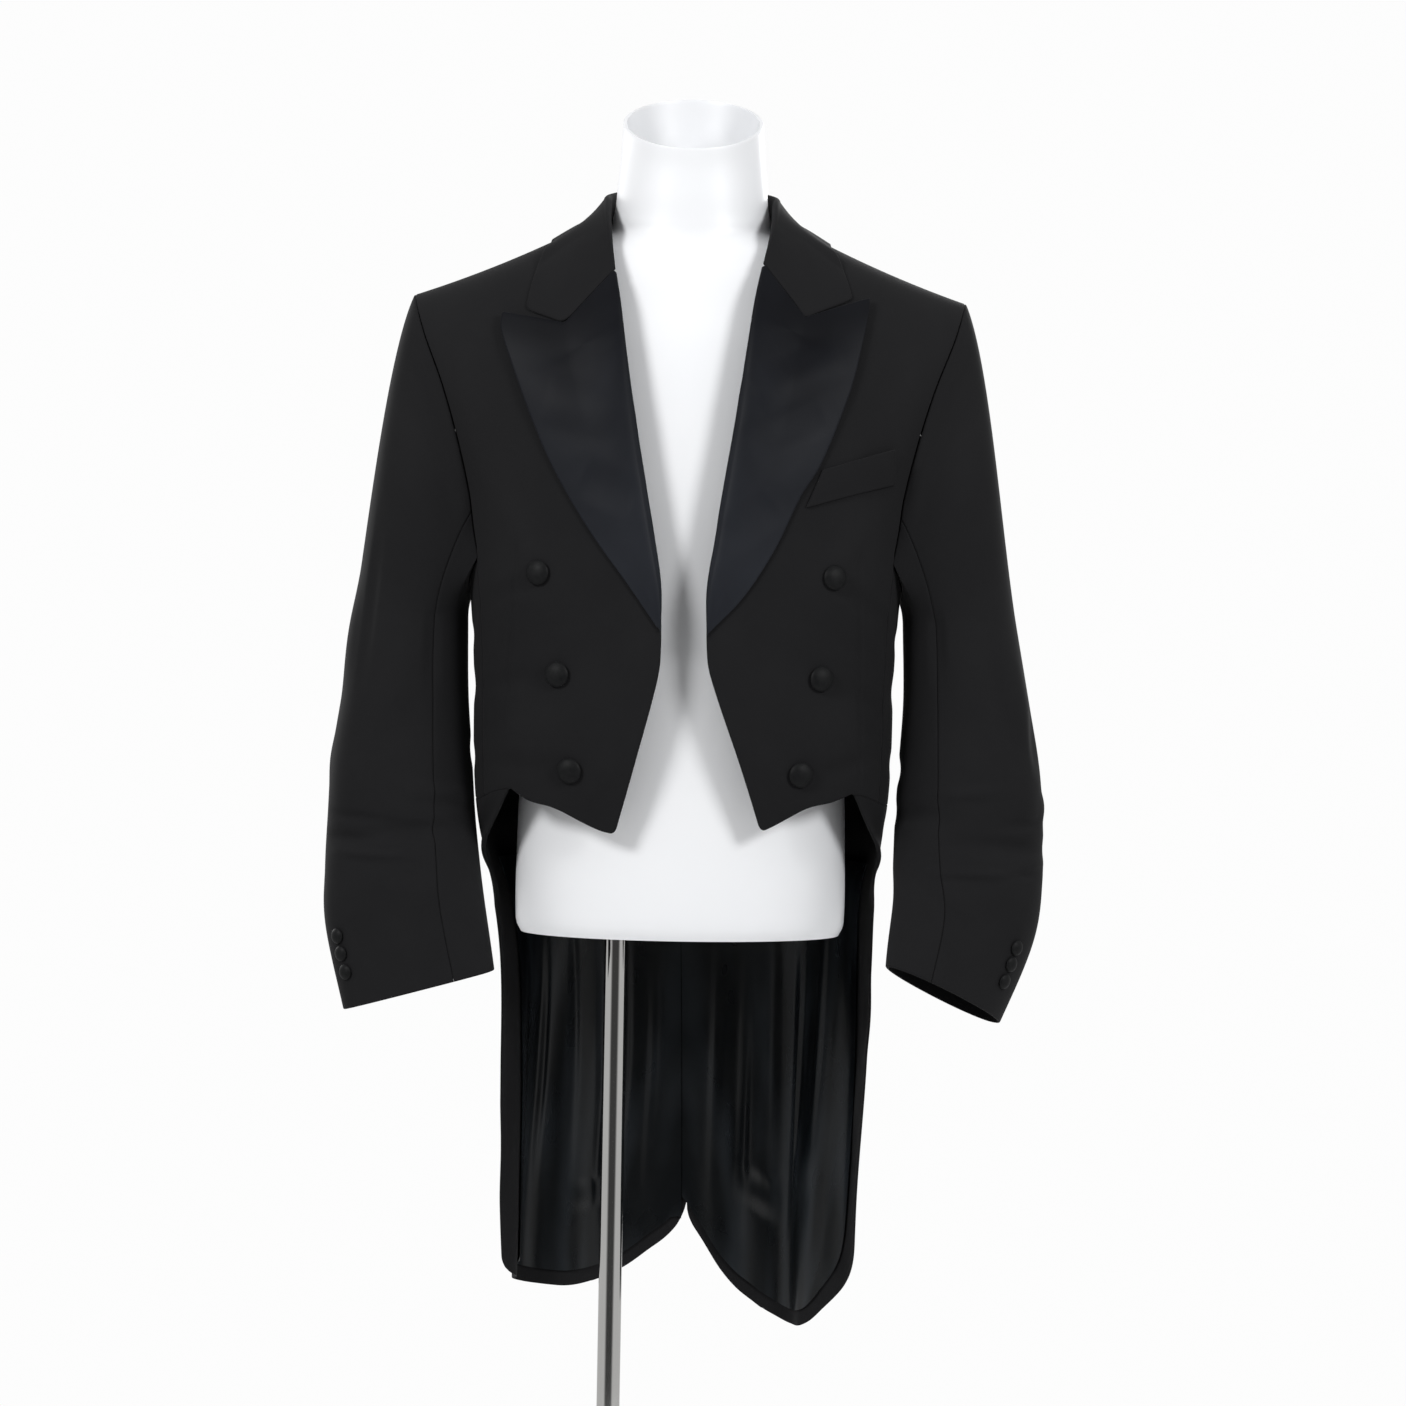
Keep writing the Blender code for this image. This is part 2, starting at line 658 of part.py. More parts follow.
def back_panel(side, parts):
    chest = (TAIL_ROWS + BODY_ROWS) / (TAIL_ROWS + BODY_ROWS + SHOULDER_ROWS)
    waist = TAIL_ROWS / (TAIL_ROWS + BODY_ROWS + SHOULDER_ROWS)

    def hem_height(x):
        return column(TAIL_HEM, "x", side, x)

    low_inner = hem_height(middle_x(side, VENT[1].height))
    low_outer = hem_height(BACK_SEAM[0].x)

    def climb(low, middle, high, v):
        if v <= waist:
            return low + (WAIST_HEIGHT - low) * v / waist
        if v <= chest:
            return WAIST_HEIGHT + (middle - WAIST_HEIGHT) * (v - waist) / (chest - waist)
        return middle + (high - middle) * (v - chest) / (1 - chest)

    def inner(v):
        height = climb(low_inner, CHEST_HEIGHT, NAPE_HEIGHT, v)
        return middle_x(side, height) + SEAM_GAP, height

    def outer(v):
        height = climb(low_outer, ARMHOLE_CORNER_HEIGHT, SHOULDER_TIP_HEIGHT, v)
        if v <= chest:
            return column(BACK_SEAM, "height", "x", height), height
        return column(ARMHOLE, "height", "x", height), height

    def bottom(u):
        x = middle_x(side, low_inner) + SEAM_GAP
        x += (column(BACK_SEAM, "height", "x", low_outer) - x) * u
        return x, hem_height(x)

    def top(u):
        x = SEAM_GAP + (SHOULDER_TIP_X - SEAM_GAP) * u
        if x < NECK_POINT_X:
            height = NAPE_HEIGHT + (NECK_POINT_HEIGHT - NAPE_HEIGHT) * (x / NECK_POINT_X) ** 2
        else:
            height = shoulder_height(x)
        return x, height

    place = coons(inner, outer, bottom, top)
    rise = rows_to_shoulder(chest)

    def point(u, v):
        x, height = place(u, rise(v))
        made = body_point(side, angle_at(x, height, True), height)
        made.y += SEAM_GAP / 2
        return made

    rows = TAIL_ROWS + BODY_ROWS + SHOULDER_ROWS
    return add_sheet(f"back_{side}", point, 7, rows, CLOTH_WALL, "wool", parts, up_and_out)


# Outer part of a tail, from the seam of the back round to its front edge
def skirt_place(side, inset, hem_rise, top_drop):
    def front_angle(height):
        edge = column(SKIRT_EDGE, "height", "angle", height)
        return math.radians(edge + inset * column(SKIRT_EDGE, "height", "facing", height))

    def hem_at(angle):
        height = 0.52
        for _ in range(4):
            width = column(COAT_SECTIONS, "height", "half_width", height)
            power = column(COAT_SECTIONS, "height", "squareness", height)
            height = column(TAIL_HEM, "x", side, width * abs(math.sin(angle)) ** (2 / power))
        return height + hem_rise

    def between(start_angle, u, v):
        height = 0.7
        for _ in range(5):
            start = start_angle(height)
            angle = start + (front_angle(height) - start) * u
            low = hem_at(angle)
            high = waist_height(angle) - top_drop
            height = low + (high - low) * v
        return angle, height

    return between


def skirt_panel(side, parts):
    between = skirt_place(side, 0, 0, 0)

    def seam(height):
        return angle_at(column(BACK_SEAM, "height", "x", height) + SEAM_GAP * 1.5, height, True)

    def point(u, v):
        return body_point(side, *between(seam, u, v))

    return add_sheet(f"skirt_{side}", point, 13, TAIL_ROWS, CLOTH_WALL, "wool", parts, away_from_body)


def lining_panel(side, parts):
    between = skirt_place(side, 1, LINING_HEM_RISE, LINING_TOP_DROP)

    def middle(height):
        return angle_at(middle_x(side, height) + 0.003, height, True)

    def point(u, v):
        return body_lifted(side, *between(middle, u, v), -(CLOTH_WALL + LINING_GAP))

    name = f"tail_lining_{side}"
    return add_sheet(name, point, 13, TAIL_ROWS, LINING_WALL, "lining", parts, away_from_body)


def lapel(side, parts):
    def outline(part):
        rows = [row for row in LAPEL_EDGE if row.part in part]
        return [(getattr(row, side + "_x"), getattr(row, side + "_height")) for row in rows]

    outer_line = line_through(outline(("outer", "tip")))
    tip, gorge, roll_top = outline(("tip", "gorge", "top"))
    start = outline(("outer",))[0]
    gorge_share = math.dist(roll_top, gorge) / (math.dist(roll_top, gorge) + math.dist(gorge, tip))

    def inner(v):
        low = start[1] - LAPEL_START_DROP
        height = low + (roll_top[1] - low) * v
        return column(FRONT_EDGE, "height", side, height) - LAPEL_PAST_ROLL, height

    def bottom(u):
        low = inner(0)
        return low[0] + (start[0] - low[0]) * u, low[1] + (start[1] - low[1]) * u

    def top(u):
        high = inner(1)
        if u <= gorge_share:
            share = u / gorge_share
            return high[0] + (gorge[0] - high[0]) * share, high[1] + (gorge[1] - high[1]) * share
        share = (u - gorge_share) / (1 - gorge_share)
        return gorge[0] + (tip[0] - gorge[0]) * share, gorge[1] + (tip[1] - gorge[1]) * share

    place = coons(inner, outer_line, bottom, top)
    columns = 8
    kink = round(gorge_share * columns) / columns

    def point(u, v):
        across = u * gorge_share / kink
        if u > kink:
            across = gorge_share + (u - kink) * (1 - gorge_share) / (1 - kink)
        x, height = place(across, v)
        inside, along = min(max(across, 0.0), 1.0), min(max(v, 0.0), 1.0)
        belly = LAPEL_BELLY * math.sin(math.pi * inside**0.5) * math.sin(math.pi * along**0.8)
        return front_lifted(side, x, height, LAPEL_LIFT + LAPEL_WALL + belly)

    return add_sheet(f"lapel_{side}", point, columns, 14, LAPEL_WALL, "satin", parts, up_and_out)


def collar(parts):
    lift = LAY_GAP + COLLAR_WALL

    def edge_point(side, row):
        height = getattr(row, side)
        return body_lifted(side, angle_at(row.x, height, row.back), height, lift)

    def front_point(side, x, height):
        return front_lifted(side, x, height, lift)

    def gorge_rows(side):
        rows = {row.part: row for row in LAPEL_EDGE}
        kink, tip = rows["gorge"], rows["top"]
        roll_height = getattr(tip, side + "_height") + GORGE_ROLL_RISE
        roll_x = column(FRONT_EDGE, "height", side, roll_height) - GORGE_ROLL_IN
        kink_x = getattr(kink, side + "_x") + GORGE_GAP / 2
        kink_height = getattr(kink, side + "_height") + GORGE_GAP
        corner = COLLAR_EDGE[0]
        return [(roll_x, roll_height), (kink_x, kink_height), (corner.x, getattr(corner, side))]

    def lines(side):
        sign = 1 if side == "left" else -1
        start = front_point(side, *gorge_rows(side)[0])
        folds = [start] + [Vector((sign * row.x, row.y, row.height)) for row in COLLAR_FOLD]
        fold_shares = [0.0] + [row.share for row in COLLAR_FOLD]
        edges = [edge_point(side, row) for row in COLLAR_EDGE]
        edge_shares = [row.share for row in COLLAR_EDGE]

        def fold(share):
            return Vector([through(fold_shares, [place[k] for place in folds], share) for k in range(3)])

        def edge(share):
            return Vector([through(edge_shares, [place[k] for place in edges], share) for k in range(3)])

        return fold, edge

    line_pairs = {side: lines(side) for side in ("left", "right")}
    gorges = {side: gorge_rows(side) for side in ("left", "right")}

    # The front edge follows the gorge seam, then the upper edge of the lapel's peak
    def gorge_shift(side, t, fold, edge):
        roll, kink, corner = gorges[side]
        first = math.dist(roll, kink) / (math.dist(roll, kink) + math.dist(kink, corner))
        if t <= first:
            flat = [roll[k] + (kink[k] - roll[k]) * t / first for k in (0, 1)]
        else:
            flat = [kink[k] + (corner[k] - kink[k]) * (t - first) / (1 - first) for k in (0, 1)]
        return front_point(side, *flat) - fold(0).lerp(edge(0), t)

    def point(u, v):
        side = "left" if u < 0.5 else "right"
        share = 1 - abs(2 * u - 1)
        fold, edge = line_pairs[side]
        top, rim = fold(share), edge(share)
        across = Vector((top.x, top.y, 0)).normalized()
        grown = smooth(share / 0.3)
        half = COLLAR_FOLD_LEAST + (COLLAR_FOLD_HALF - COLLAR_FOLD_LEAST) * grown
        down = Vector((0, 0, -1))
        inner_top = top - across * half + down * half
        foot_height = min(inner_top.z - COLLAR_STAND_LEAST, COLLAR_FOOT_HEIGHT)
        foot = Vector((inner_top.x, inner_top.y, foot_height))
        start = top + across * half + down * half

        def fall(t):
            shift = gorge_shift(side, t, fold, edge) * (1 - smooth(share / 0.24))
            belly = COLLAR_BELLY * math.sin(math.pi * t) * grown
            return clear_of_body(start.lerp(rim, t) + shift, lift + COLLAR_EXTRA_LIFT * grown + belly)

        profile = [foot, inner_top, top, start] + [fall(t) for t in COLLAR_FALL_STEPS]
        place = min(max(v, 0.0), 1.0) * (len(profile) - 1)
        low = min(int(place + 1e-9), len(profile) - 2)
        return profile[low].lerp(profile[low + 1], place - low)

    def facing(place):
        return Vector((place.x, place.y, 0.2))

    return add_sheet("collar", point, 28, 8, COLLAR_WALL, "wool", parts, facing)


def breast_welt(parts):
    inner, outer = WELT_ENDS["inner"], WELT_ENDS["outer"]

    def point(u, v):
        low_x, low, high_x, high = (inner[k] + (outer[k] - inner[k]) * u for k in range(4))
        x, height = low_x + (high_x - low_x) * v, low + (high - low) * v
        return front_lifted("left", x, height, LAY_GAP + WELT_WALL)

    return add_sheet("breast_welt", point, 8, 3, WELT_WALL, "wool", parts, up_and_out)


def ring_frame(side, place):
    rows = SLEEVE_RINGS[side]
    keys = list(range(len(rows)))
    x, y, height, half_width, half_depth, droop, turn = (
        through(keys, [row[k] for row in rows], place) for k in range(7)
    )
    droop, turn = math.radians(droop), math.radians(turn)
    level = math.cos(droop)
    outward = Vector((math.cos(turn) * level, math.sin(turn) * level, -math.sin(droop)))
    backward = Vector((-math.sin(turn), math.cos(turn), 0))
    return Vector((x, y, height)), outward * half_width, backward * half_depth


def ring_point(side, place, turn):
    middle, outward, backward = ring_frame(side, place)
    power = 2 / SLEEVE_SQUARENESS
    cosine, sine = math.cos(turn), math.sin(turn)
    across = math.copysign(abs(cosine) ** power, cosine)
    through_depth = math.copysign(abs(sine) ** power, sine)
    return middle + outward * across - backward * through_depth


# Outer surface of a sleeve: turn 0 is its outer side, 90 degrees its front; down runs from armhole to cuff
def sleeve_point(side, turn, down):
    last = len(SLEEVE_RINGS[side]) - 1
    if down >= CAP_SHARE:
        made = ring_point(side, (down - CAP_SHARE) / (1 - CAP_SHARE) * last, turn)
    else:
        seam = body_point("left", *armhole_place(turn))
        end = ring_point(side, 0, turn)
        t = down / CAP_SHARE
        length = (end - seam).length
        top_share = (1 + math.cos(turn)) / 2
        sine = math.sin(turn)
        seam.x += SLEEVE_HEAD_GAP + SLEEVE_HEAD_EXTRA_GAP * top_share**4
        leave = HEAD_LEAVES * top_share + UNDERARM_LEAVES * (1 - top_share)
        leave += Vector((SIDE_LEAVES_OUT, SIDE_LEAVES_IN * sine, SIDE_LEAVES_UP)) * abs(sine)
        leave = leave.normalized() * length * 0.45
        arrive = (ring_point(side, 0.15, turn) - end).normalized() * length * 0.8
        made = (
            seam * (2 * t**3 - 3 * t**2 + 1)
            + leave * (t**3 - 2 * t**2 + t)
            + end * (3 * t**2 - 2 * t**3)
            + arrive * (t**3 - t**2)
        )
    middle = ring_frame(side, max((down - CAP_SHARE) / (1 - CAP_SHARE) * last, 0))[0]
    outside = Vector((made.x - middle.x, made.y - middle.y, 0)).normalized()
    degrees = math.degrees(turn)
    for crease in SLEEVE_CREASES[side]:
        apart = (degrees - crease.around + 180) % 360 - 180
        made += outside * crease.depth * bump(apart, crease.half_around) * bump(
            down - crease.down, crease.half_down
        )
    made.x *= 1 if side == "left" else -1
    return made


def hind_seam(down):
    swing = smooth((down - 0.15) / 0.85)
    return math.radians(HIND_SLEEVE_SEAM_TOP + (HIND_SLEEVE_SEAM_CUFF - HIND_SLEEVE_SEAM_TOP) * swing)


def sleeve(side, part_name, parts):
    gap = math.radians(0.25)
    front = math.radians(FRONT_SLEEVE_SEAM)
    columns = 11 if part_name == "top_sleeve" else 8

    def point(u, v):
        start, end = hind_seam(v) + gap, front - gap
        if part_name == "under_sleeve":
            start, end = front + gap, 2 * math.pi + hind_seam(v) - gap
        return sleeve_point(side, start + (end - start) * u, v)

    def facing(place):
        sign = 1 if side == "left" else -1
        last = len(SLEEVE_RINGS[side]) - 1
        heights = [row.height for row in SLEEVE_RINGS[side]]
        ring = min(range(last + 1), key=lambda k: abs(heights[k] - place.z))
        middle = ring_frame(side, ring)[0]
        return Vector((place.x - sign * middle.x, place.y - middle.y, 0))

    return add_sheet(f"{part_name}_{side}", point, columns, 17, CLOTH_WALL, "wool", parts, facing)


# Covered button: a flattened dome with a flat back, its back at the origin
def button_mesh(name, radius, height):
    mesh = bpy.data.meshes.new(name)
    shape = bmesh.new()
    bmesh.ops.create_uvsphere(shape, u_segments=10, v_segments=5, radius=radius)
    below = 0.30
    for vertex in shape.verts:
        vertex.co.z *= height / radius / (1 + below)
    cut = -below * height / (1 + below)
    geometry = shape.verts[:] + shape.edges[:] + shape.faces[:]
    bmesh.ops.bisect_plane(
        shape, geom=geometry, plane_co=(0, 0, cut), plane_no=(0, 0, -1), clear_outer=True
    )
    bmesh.ops.holes_fill(shape, edges=[edge for edge in shape.edges if edge.is_boundary])
    bmesh.ops.translate(shape, verts=shape.verts, vec=(0, 0, -cut))
    bmesh.ops.recalc_face_normals(shape, faces=shape.faces)
    shape.to_mesh(mesh)
    shape.free()
    return mesh


def add_button(name, mesh, place, normal, parts):
    button = add_object(name, mesh, "satin", parts)
    button.location = place
    button.rotation_euler = normal.to_track_quat("Z", "Y").to_euler()
    return button


def front_buttons(side, parts):
    for i, row in enumerate(FRONT_BUTTONS, start=1):
        angle = angle_at(getattr(row, side), row.height)
        name = f"front_button_{side}_{i}"
        mesh = button_mesh(name, FRONT_BUTTON_RADIUS, FRONT_BUTTON_HEIGHT)
        place = body_lifted(side, angle, row.height, FRONT_BUTTON_LIFT)
        add_button(name, mesh, place, body_normal(side, angle, row.height), parts)


def cuff_buttons(side, parts):
    turn = math.radians(CUFF_BUTTON_AROUND[side])
    step = 0.01
    for i, down in enumerate(CUFF_BUTTON_PLACES, start=1):
        place = sleeve_point(side, turn, down)
        along = sleeve_point(side, turn, down + step) - sleeve_point(side, turn, down - step)
        around = sleeve_point(side, turn + 0.1, down) - sleeve_point(side, turn - 0.1, down)
        normal = around.cross(along).normalized()
        if normal.y > 0:
            normal.negate()
        name = f"cuff_button_{side}_{i}"
        mesh = button_mesh(name, CUFF_BUTTON_RADIUS, CUFF_BUTTON_HEIGHT)
        add_button(name, mesh, place + normal * CUFF_BUTTON_LIFT, normal, parts)


# Hollow display form, open at the neck, as one wall from the middle of its flat bottom up to the rim
def display_form(parts):
    bottom_rows, side_rows, columns = 2, 17, 24
    rows = bottom_rows + side_rows
    heights = [ring.height for ring in FORM_RINGS]

    def point(u, v):
        index = v * rows
        scale = min(index / bottom_rows, 1.0)
        climb = max(index - bottom_rows, 0) / side_rows
        height = through([k / (len(heights) - 1) for k in range(len(heights))], heights, climb)
        half_width, front, back, middle, fall = (
            column(FORM_RINGS, "height", field, height) for field in FormRing._fields[1:]
        )
        angle = 2 * math.pi * u
        x, y = half_width * math.sin(angle), -math.cos(angle)
        y *= front if y < 0 else back
        return Vector((x * scale, middle + y * scale, height + fall * y))

    mesh = bpy.data.meshes.new("display_form")
    shape = bmesh.new()
    bmesh.ops.create_grid(shape, x_segments=columns, y_segments=rows, size=0.5)
    for vertex in shape.verts:
        vertex.co = point(vertex.co.x + 0.5, vertex.co.y + 0.5)
    bmesh.ops.remove_doubles(shape, verts=shape.verts, dist=0.0001)
    bmesh.ops.recalc_face_normals(shape, faces=shape.faces)
    if shape.calc_volume(signed=True) < 0:
        bmesh.ops.reverse_faces(shape, faces=shape.faces)
    shape.to_mesh(mesh)
    shape.free()
    made = add_object("display_form", mesh, "form_plastic", parts)
    solid = made.modifiers.new("Wall", "SOLIDIFY")
    solid.thickness = FORM_WALL
    solid.offset = -1
    return made


def cylinder(name, radius, low, high, x, finish, parts, segments):
    mesh = bpy.data.meshes.new(name)
    shape = bmesh.new()
    bmesh.ops.create_cone(
        shape, cap_ends=True, segments=segments, radius1=radius, radius2=radius, depth=high - low
    )
    shape.to_mesh(mesh)
    shape.free()
    made = add_object(name, mesh, finish, parts)
    made.location = (x, 0, (low + high) / 2)
    return made


def stand(parts):
    base = cylinder("base", BASE_RADIUS, 0, BASE_HEIGHT, POLE_X, "base_steel", parts, 48)
    edge = base.modifiers.new("Edge", "BEVEL")
    edge.width = BASE_EDGE
    edge.segments = 1
    edge.limit_method = "ANGLE"
    top = FORM_BOTTOM_HEIGHT - LAY_GAP
    cylinder("pole", POLE_RADIUS, BASE_HEIGHT + LAY_GAP, top, POLE_X, "chrome", parts, 20)


def main():
    for found in list(bpy.data.objects):
        bpy.data.objects.remove(found)
    parts = bpy.data.collections.new("white tie tailcoat")
    bpy.context.scene.collection.children.link(parts)
    stand(parts)
    display_form(parts)
    for side in ("left", "right"):
        front_panel(side, parts)
        side_panel(side, parts)
        back_panel(side, parts)
        skirt_panel(side, parts)
        lining_panel(side, parts)
        lapel(side, parts)
        for part_name in ("top_sleeve", "under_sleeve"):
            sleeve(side, part_name, parts)
        front_buttons(side, parts)
        cuff_buttons(side, parts)
    collar(parts)
    breast_welt(parts)


main()
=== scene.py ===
import math

import bmesh
import bpy
import numpy as np
from mathutils import Matrix, Vector


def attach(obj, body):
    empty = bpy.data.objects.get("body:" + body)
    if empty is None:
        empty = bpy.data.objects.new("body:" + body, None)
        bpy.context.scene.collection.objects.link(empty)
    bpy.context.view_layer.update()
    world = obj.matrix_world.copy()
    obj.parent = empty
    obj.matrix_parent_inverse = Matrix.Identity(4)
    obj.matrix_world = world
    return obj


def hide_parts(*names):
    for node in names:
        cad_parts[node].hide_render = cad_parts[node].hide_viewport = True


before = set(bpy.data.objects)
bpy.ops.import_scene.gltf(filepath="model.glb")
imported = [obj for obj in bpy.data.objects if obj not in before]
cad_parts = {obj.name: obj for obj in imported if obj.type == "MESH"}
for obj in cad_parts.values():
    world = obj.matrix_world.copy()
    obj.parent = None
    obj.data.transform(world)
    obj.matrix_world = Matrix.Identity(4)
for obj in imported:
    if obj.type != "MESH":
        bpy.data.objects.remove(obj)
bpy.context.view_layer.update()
print("frame loaded:", len(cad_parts), "nodes")

sideSign = {"left": 1, "right": -1}  # the wearer's left is +X

# user values for the coat's body; lengths in metres
coat = {
    "chestHeight": 1.220,
    "waistHeight": 0.965,
    "shoulderTip": (0.238, 1.400),
    "neckPoint": (0.077, 1.469),
    "napeHeight": 1.466,
    "shoulderSag": 0.0045,
    "shoulderRoundness": 2.3,
    "ridgeCrowding": 1.6,
    "armholeBase": 1.150,
    "armholeCorner": 1.168,
    "armholeCornerTurn": math.radians(148),
    "frontSeamAngle": math.radians(67.5),
    "wall": 0.0020,
    "seamGap": 0.0001,
    "waistGap": -0.0002,
    "sideSeamTurn": 0.0004,
}
# sections of the body: half width, depth to the front and to the back, squareness of the oval, sideways shift
sections = {
    "height": [0.46, 0.60, 0.72, 0.82, 0.90, 0.94, 0.97, 1.01, 1.08, 1.15, 1.22, 1.27, 1.32, 1.36, 1.40, 1.48],
    "halfWidth": [
        0.162, 0.162, 0.164, 0.165, 0.168, 0.175, 0.179, 0.181,
        0.182, 0.187, 0.197, 0.214, 0.237, 0.260, 0.280, 0.300,
    ],
    "front": [
        0.090, 0.090, 0.092, 0.096, 0.102, 0.107, 0.112, 0.117,
        0.122, 0.124, 0.121, 0.118, 0.116, 0.115, 0.114, 0.113,
    ],
    "back": [
        0.128, 0.134, 0.140, 0.145, 0.147, 0.146, 0.142, 0.138,
        0.138, 0.141, 0.142, 0.142, 0.140, 0.138, 0.136, 0.134,
    ],
    "squareness": [2.7, 2.7, 2.6, 2.6, 2.5, 2.4, 2.4, 2.4, 2.4, 2.4, 2.4, 2.4, 2.4, 2.4, 2.4, 2.4],
    "shift": [-0.002, 0.0, 0.005, 0.006, 0.002, 0.0, 0.0, 0.0, 0.0, 0.0, 0.0, 0.0, 0.0, 0.0, 0.0, 0.0],
}
armhole = {
    "height": [1.168, 1.195, 1.225, 1.272, 1.318, 1.362, 1.400],
    "x": [0.1750, 0.1800, 0.1840, 0.1950, 0.2090, 0.2260, 0.2380],
}
frontEdge = {  # edge of each front and, higher up, the roll line of its lapel
    "height": [
        0.940, 1.000, 1.060, 1.085, 1.134, 1.175, 1.216,
        1.257, 1.298, 1.341, 1.384, 1.410, 1.440, 1.469,
    ],
    "left": [
        0.0680, 0.0480, 0.0265, 0.0200, 0.0196, 0.0265, 0.0325,
        0.0390, 0.0455, 0.0515, 0.0575, 0.0625, 0.0690, 0.0770,
    ],
    "right": [
        0.0540, 0.0380, 0.0225, 0.0185, 0.0196, 0.0268, 0.0340,
        0.0415, 0.0485, 0.0550, 0.0610, 0.0655, 0.0700, 0.0770,
    ],
}
frontHem = {
    "x": [0.050, 0.068, 0.105, 0.128, 0.1445],
    "left": [0.9460, 0.9440, 0.9630, 0.9690, 0.9760],
    "right": [0.9390, 0.9430, 0.9600, 0.9660, 0.9760],
}
backSeam = {
    "height": [0.480, 0.700, 0.900, 0.965, 1.010, 1.060, 1.110, 1.145, 1.168],
    "x": [0.0800, 0.0700, 0.0560, 0.0520, 0.0620, 0.0880, 0.1260, 0.1560, 0.1750],
}
skirtEdge = {  # front edge of the skirts and the width of the cloth facing inside it, in degrees
    "height": [0.500, 0.600, 0.720, 0.820, 0.870, 0.905, 0.930, 0.955, 0.975],
    "angle": [107, 103, 100, 97, 92, 83, 72, 59, 51],
    "facing": [12, 11, 13, 15, 17, 19, 21, 22, 22],
}
vent = {"height": [0.480, 0.600, 0.800, 0.965], "x": [0.0110, 0.0100, 0.0060, 0.0]}
tailHem = {
    "x": [-0.020, 0.000, 0.025, 0.045, 0.065, 0.085, 0.107, 0.130, 0.150, 0.170],
    "left": [0.6000, 0.5860, 0.5560, 0.5290, 0.5070, 0.4900, 0.4820, 0.4900, 0.5160, 0.5600],
    "right": [0.6000, 0.5660, 0.5435, 0.5280, 0.5205, 0.5170, 0.5155, 0.5200, 0.5330, 0.5600],
}
tailFolds = {  # deepest at the hem: middle and half width in degrees, depth outwards
    "angle": [169, 151, 131, 112],
    "width": [10, 14, 15, 13],
    "left": [-0.0060, 0.0090, -0.0080, 0.0070],
    "right": [0.0050, -0.0080, 0.0100, -0.0100],
}


def through(keys, values, place):  # smooth curve through values at rising keys
    keys, values = np.asarray(keys, float), np.asarray(values, float)
    place = np.clip(place, keys[0], keys[-1])
    count = len(keys)
    low, high = np.maximum(np.arange(count) - 1, 0), np.minimum(np.arange(count) + 1, count - 1)
    slope = (values[high] - values[low]) / (keys[high] - keys[low])
    i = np.clip(np.searchsorted(keys, place, side="left") - 1, 0, count - 2)
    span = keys[i + 1] - keys[i]
    t = (place - keys[i]) / span
    return (
        (2 * t**3 - 3 * t**2 + 1) * values[i]
        + (t**3 - 2 * t**2 + t) * span * slope[i]
        + (3 * t**2 - 2 * t**3) * values[i + 1]
        + (t**3 - t**2) * span * slope[i + 1]
    )


def sectionAt(column, height):
    return through(sections["height"], sections[column], height)


def smooth(t):
    t = np.clip(t, 0.0, 1.0)
    return t * t * (3 - 2 * t)


def bump(distance, width):  # one soft fold: 1 at its middle, 0 past its width
    t = np.minimum(np.abs(distance) / width, 1.0)
    return (1 - t * t) ** 2


def signedPower(value, power):
    return np.sign(value) * np.abs(value) ** power


def unit(vectors):
    return vectors / np.maximum(np.linalg.norm(vectors, axis=-1, keepdims=True), 1e-9)


def shoulderHeight(x):
    (tipX, tipHeight), (neckX, neckHeight) = coat["shoulderTip"], coat["neckPoint"]
    share = (np.abs(x) - neckX) / (tipX - neckX)
    sag = coat["shoulderSag"] * 4 * np.clip(share * (1 - share), 0, None)
    return neckHeight + (tipHeight - neckHeight) * share - sag


def angleAt(x, height, back=False):
    share = np.clip(x / sectionAt("halfWidth", height), -1, 1)
    angle = np.arcsin(signedPower(share, sectionAt("squareness", height) / 2))
    return np.pi - angle if back else angle


def xAt(angle, height):
    return sectionAt("halfWidth", height) * np.abs(np.sin(angle)) ** (2 / sectionAt("squareness", height))


def tailFold(side, angle, height):
    degrees = np.degrees(angle)
    folds = sum(
        depth * bump(degrees - middle, width)
        for middle, width, depth in zip(tailFolds["angle"], tailFolds["width"], tailFolds[side])
    )
    return folds * smooth((0.93 - height) / 0.36)


def bodyPoint(side, angle, height):  # outer surface of the coat's body
    angle, height = np.broadcast_arrays(np.asarray(angle, float), np.asarray(height, float))
    power, chest = sectionAt("squareness", height), coat["chestHeight"]
    sine, cosine = np.sin(angle), np.cos(angle)
    fold = np.where(height < coat["waistHeight"], tailFold(side, angle, height), 0.0)
    x = (sectionAt("halfWidth", height) + fold) * signedPower(sine, 2 / power)
    depth = np.where(cosine > 0, sectionAt("front", height), sectionAt("back", height))
    depth = depth * np.abs(cosine) ** (2 / power) + fold * np.abs(cosine)
    rise = np.clip((height - chest) / (shoulderHeight(x) - chest), 0, 1)
    depth = depth * (1 - rise ** coat["shoulderRoundness"]) ** (1 / coat["shoulderRoundness"])
    shifted = sideSign[side] * x + sectionAt("shift", height)
    return np.stack([shifted, np.where(cosine > 0, -depth, depth), height], -1)


def bodyNormal(side, angle, height):
    step = 0.002
    below = np.minimum(height, 1.46)
    across = bodyPoint(side, angle + step, below) - bodyPoint(side, angle - step, below)
    upward = bodyPoint(side, angle, below + step) - bodyPoint(side, angle, below - step)
    normal = unit(np.cross(across, upward))
    outward = bodyPoint(side, angle, below) * np.array([1, 1, 0])
    return normal * np.where(np.sum(normal * outward, -1) > 0, 1, -1)[..., None]


def bodyLifted(side, angle, height, lift):
    lift = np.asarray(lift, float)
    return bodyPoint(side, angle, height) + bodyNormal(side, angle, height) * lift[..., None]


def frontLifted(side, x, height, lift):
    return bodyLifted(side, angleAt(x, height), height, lift)


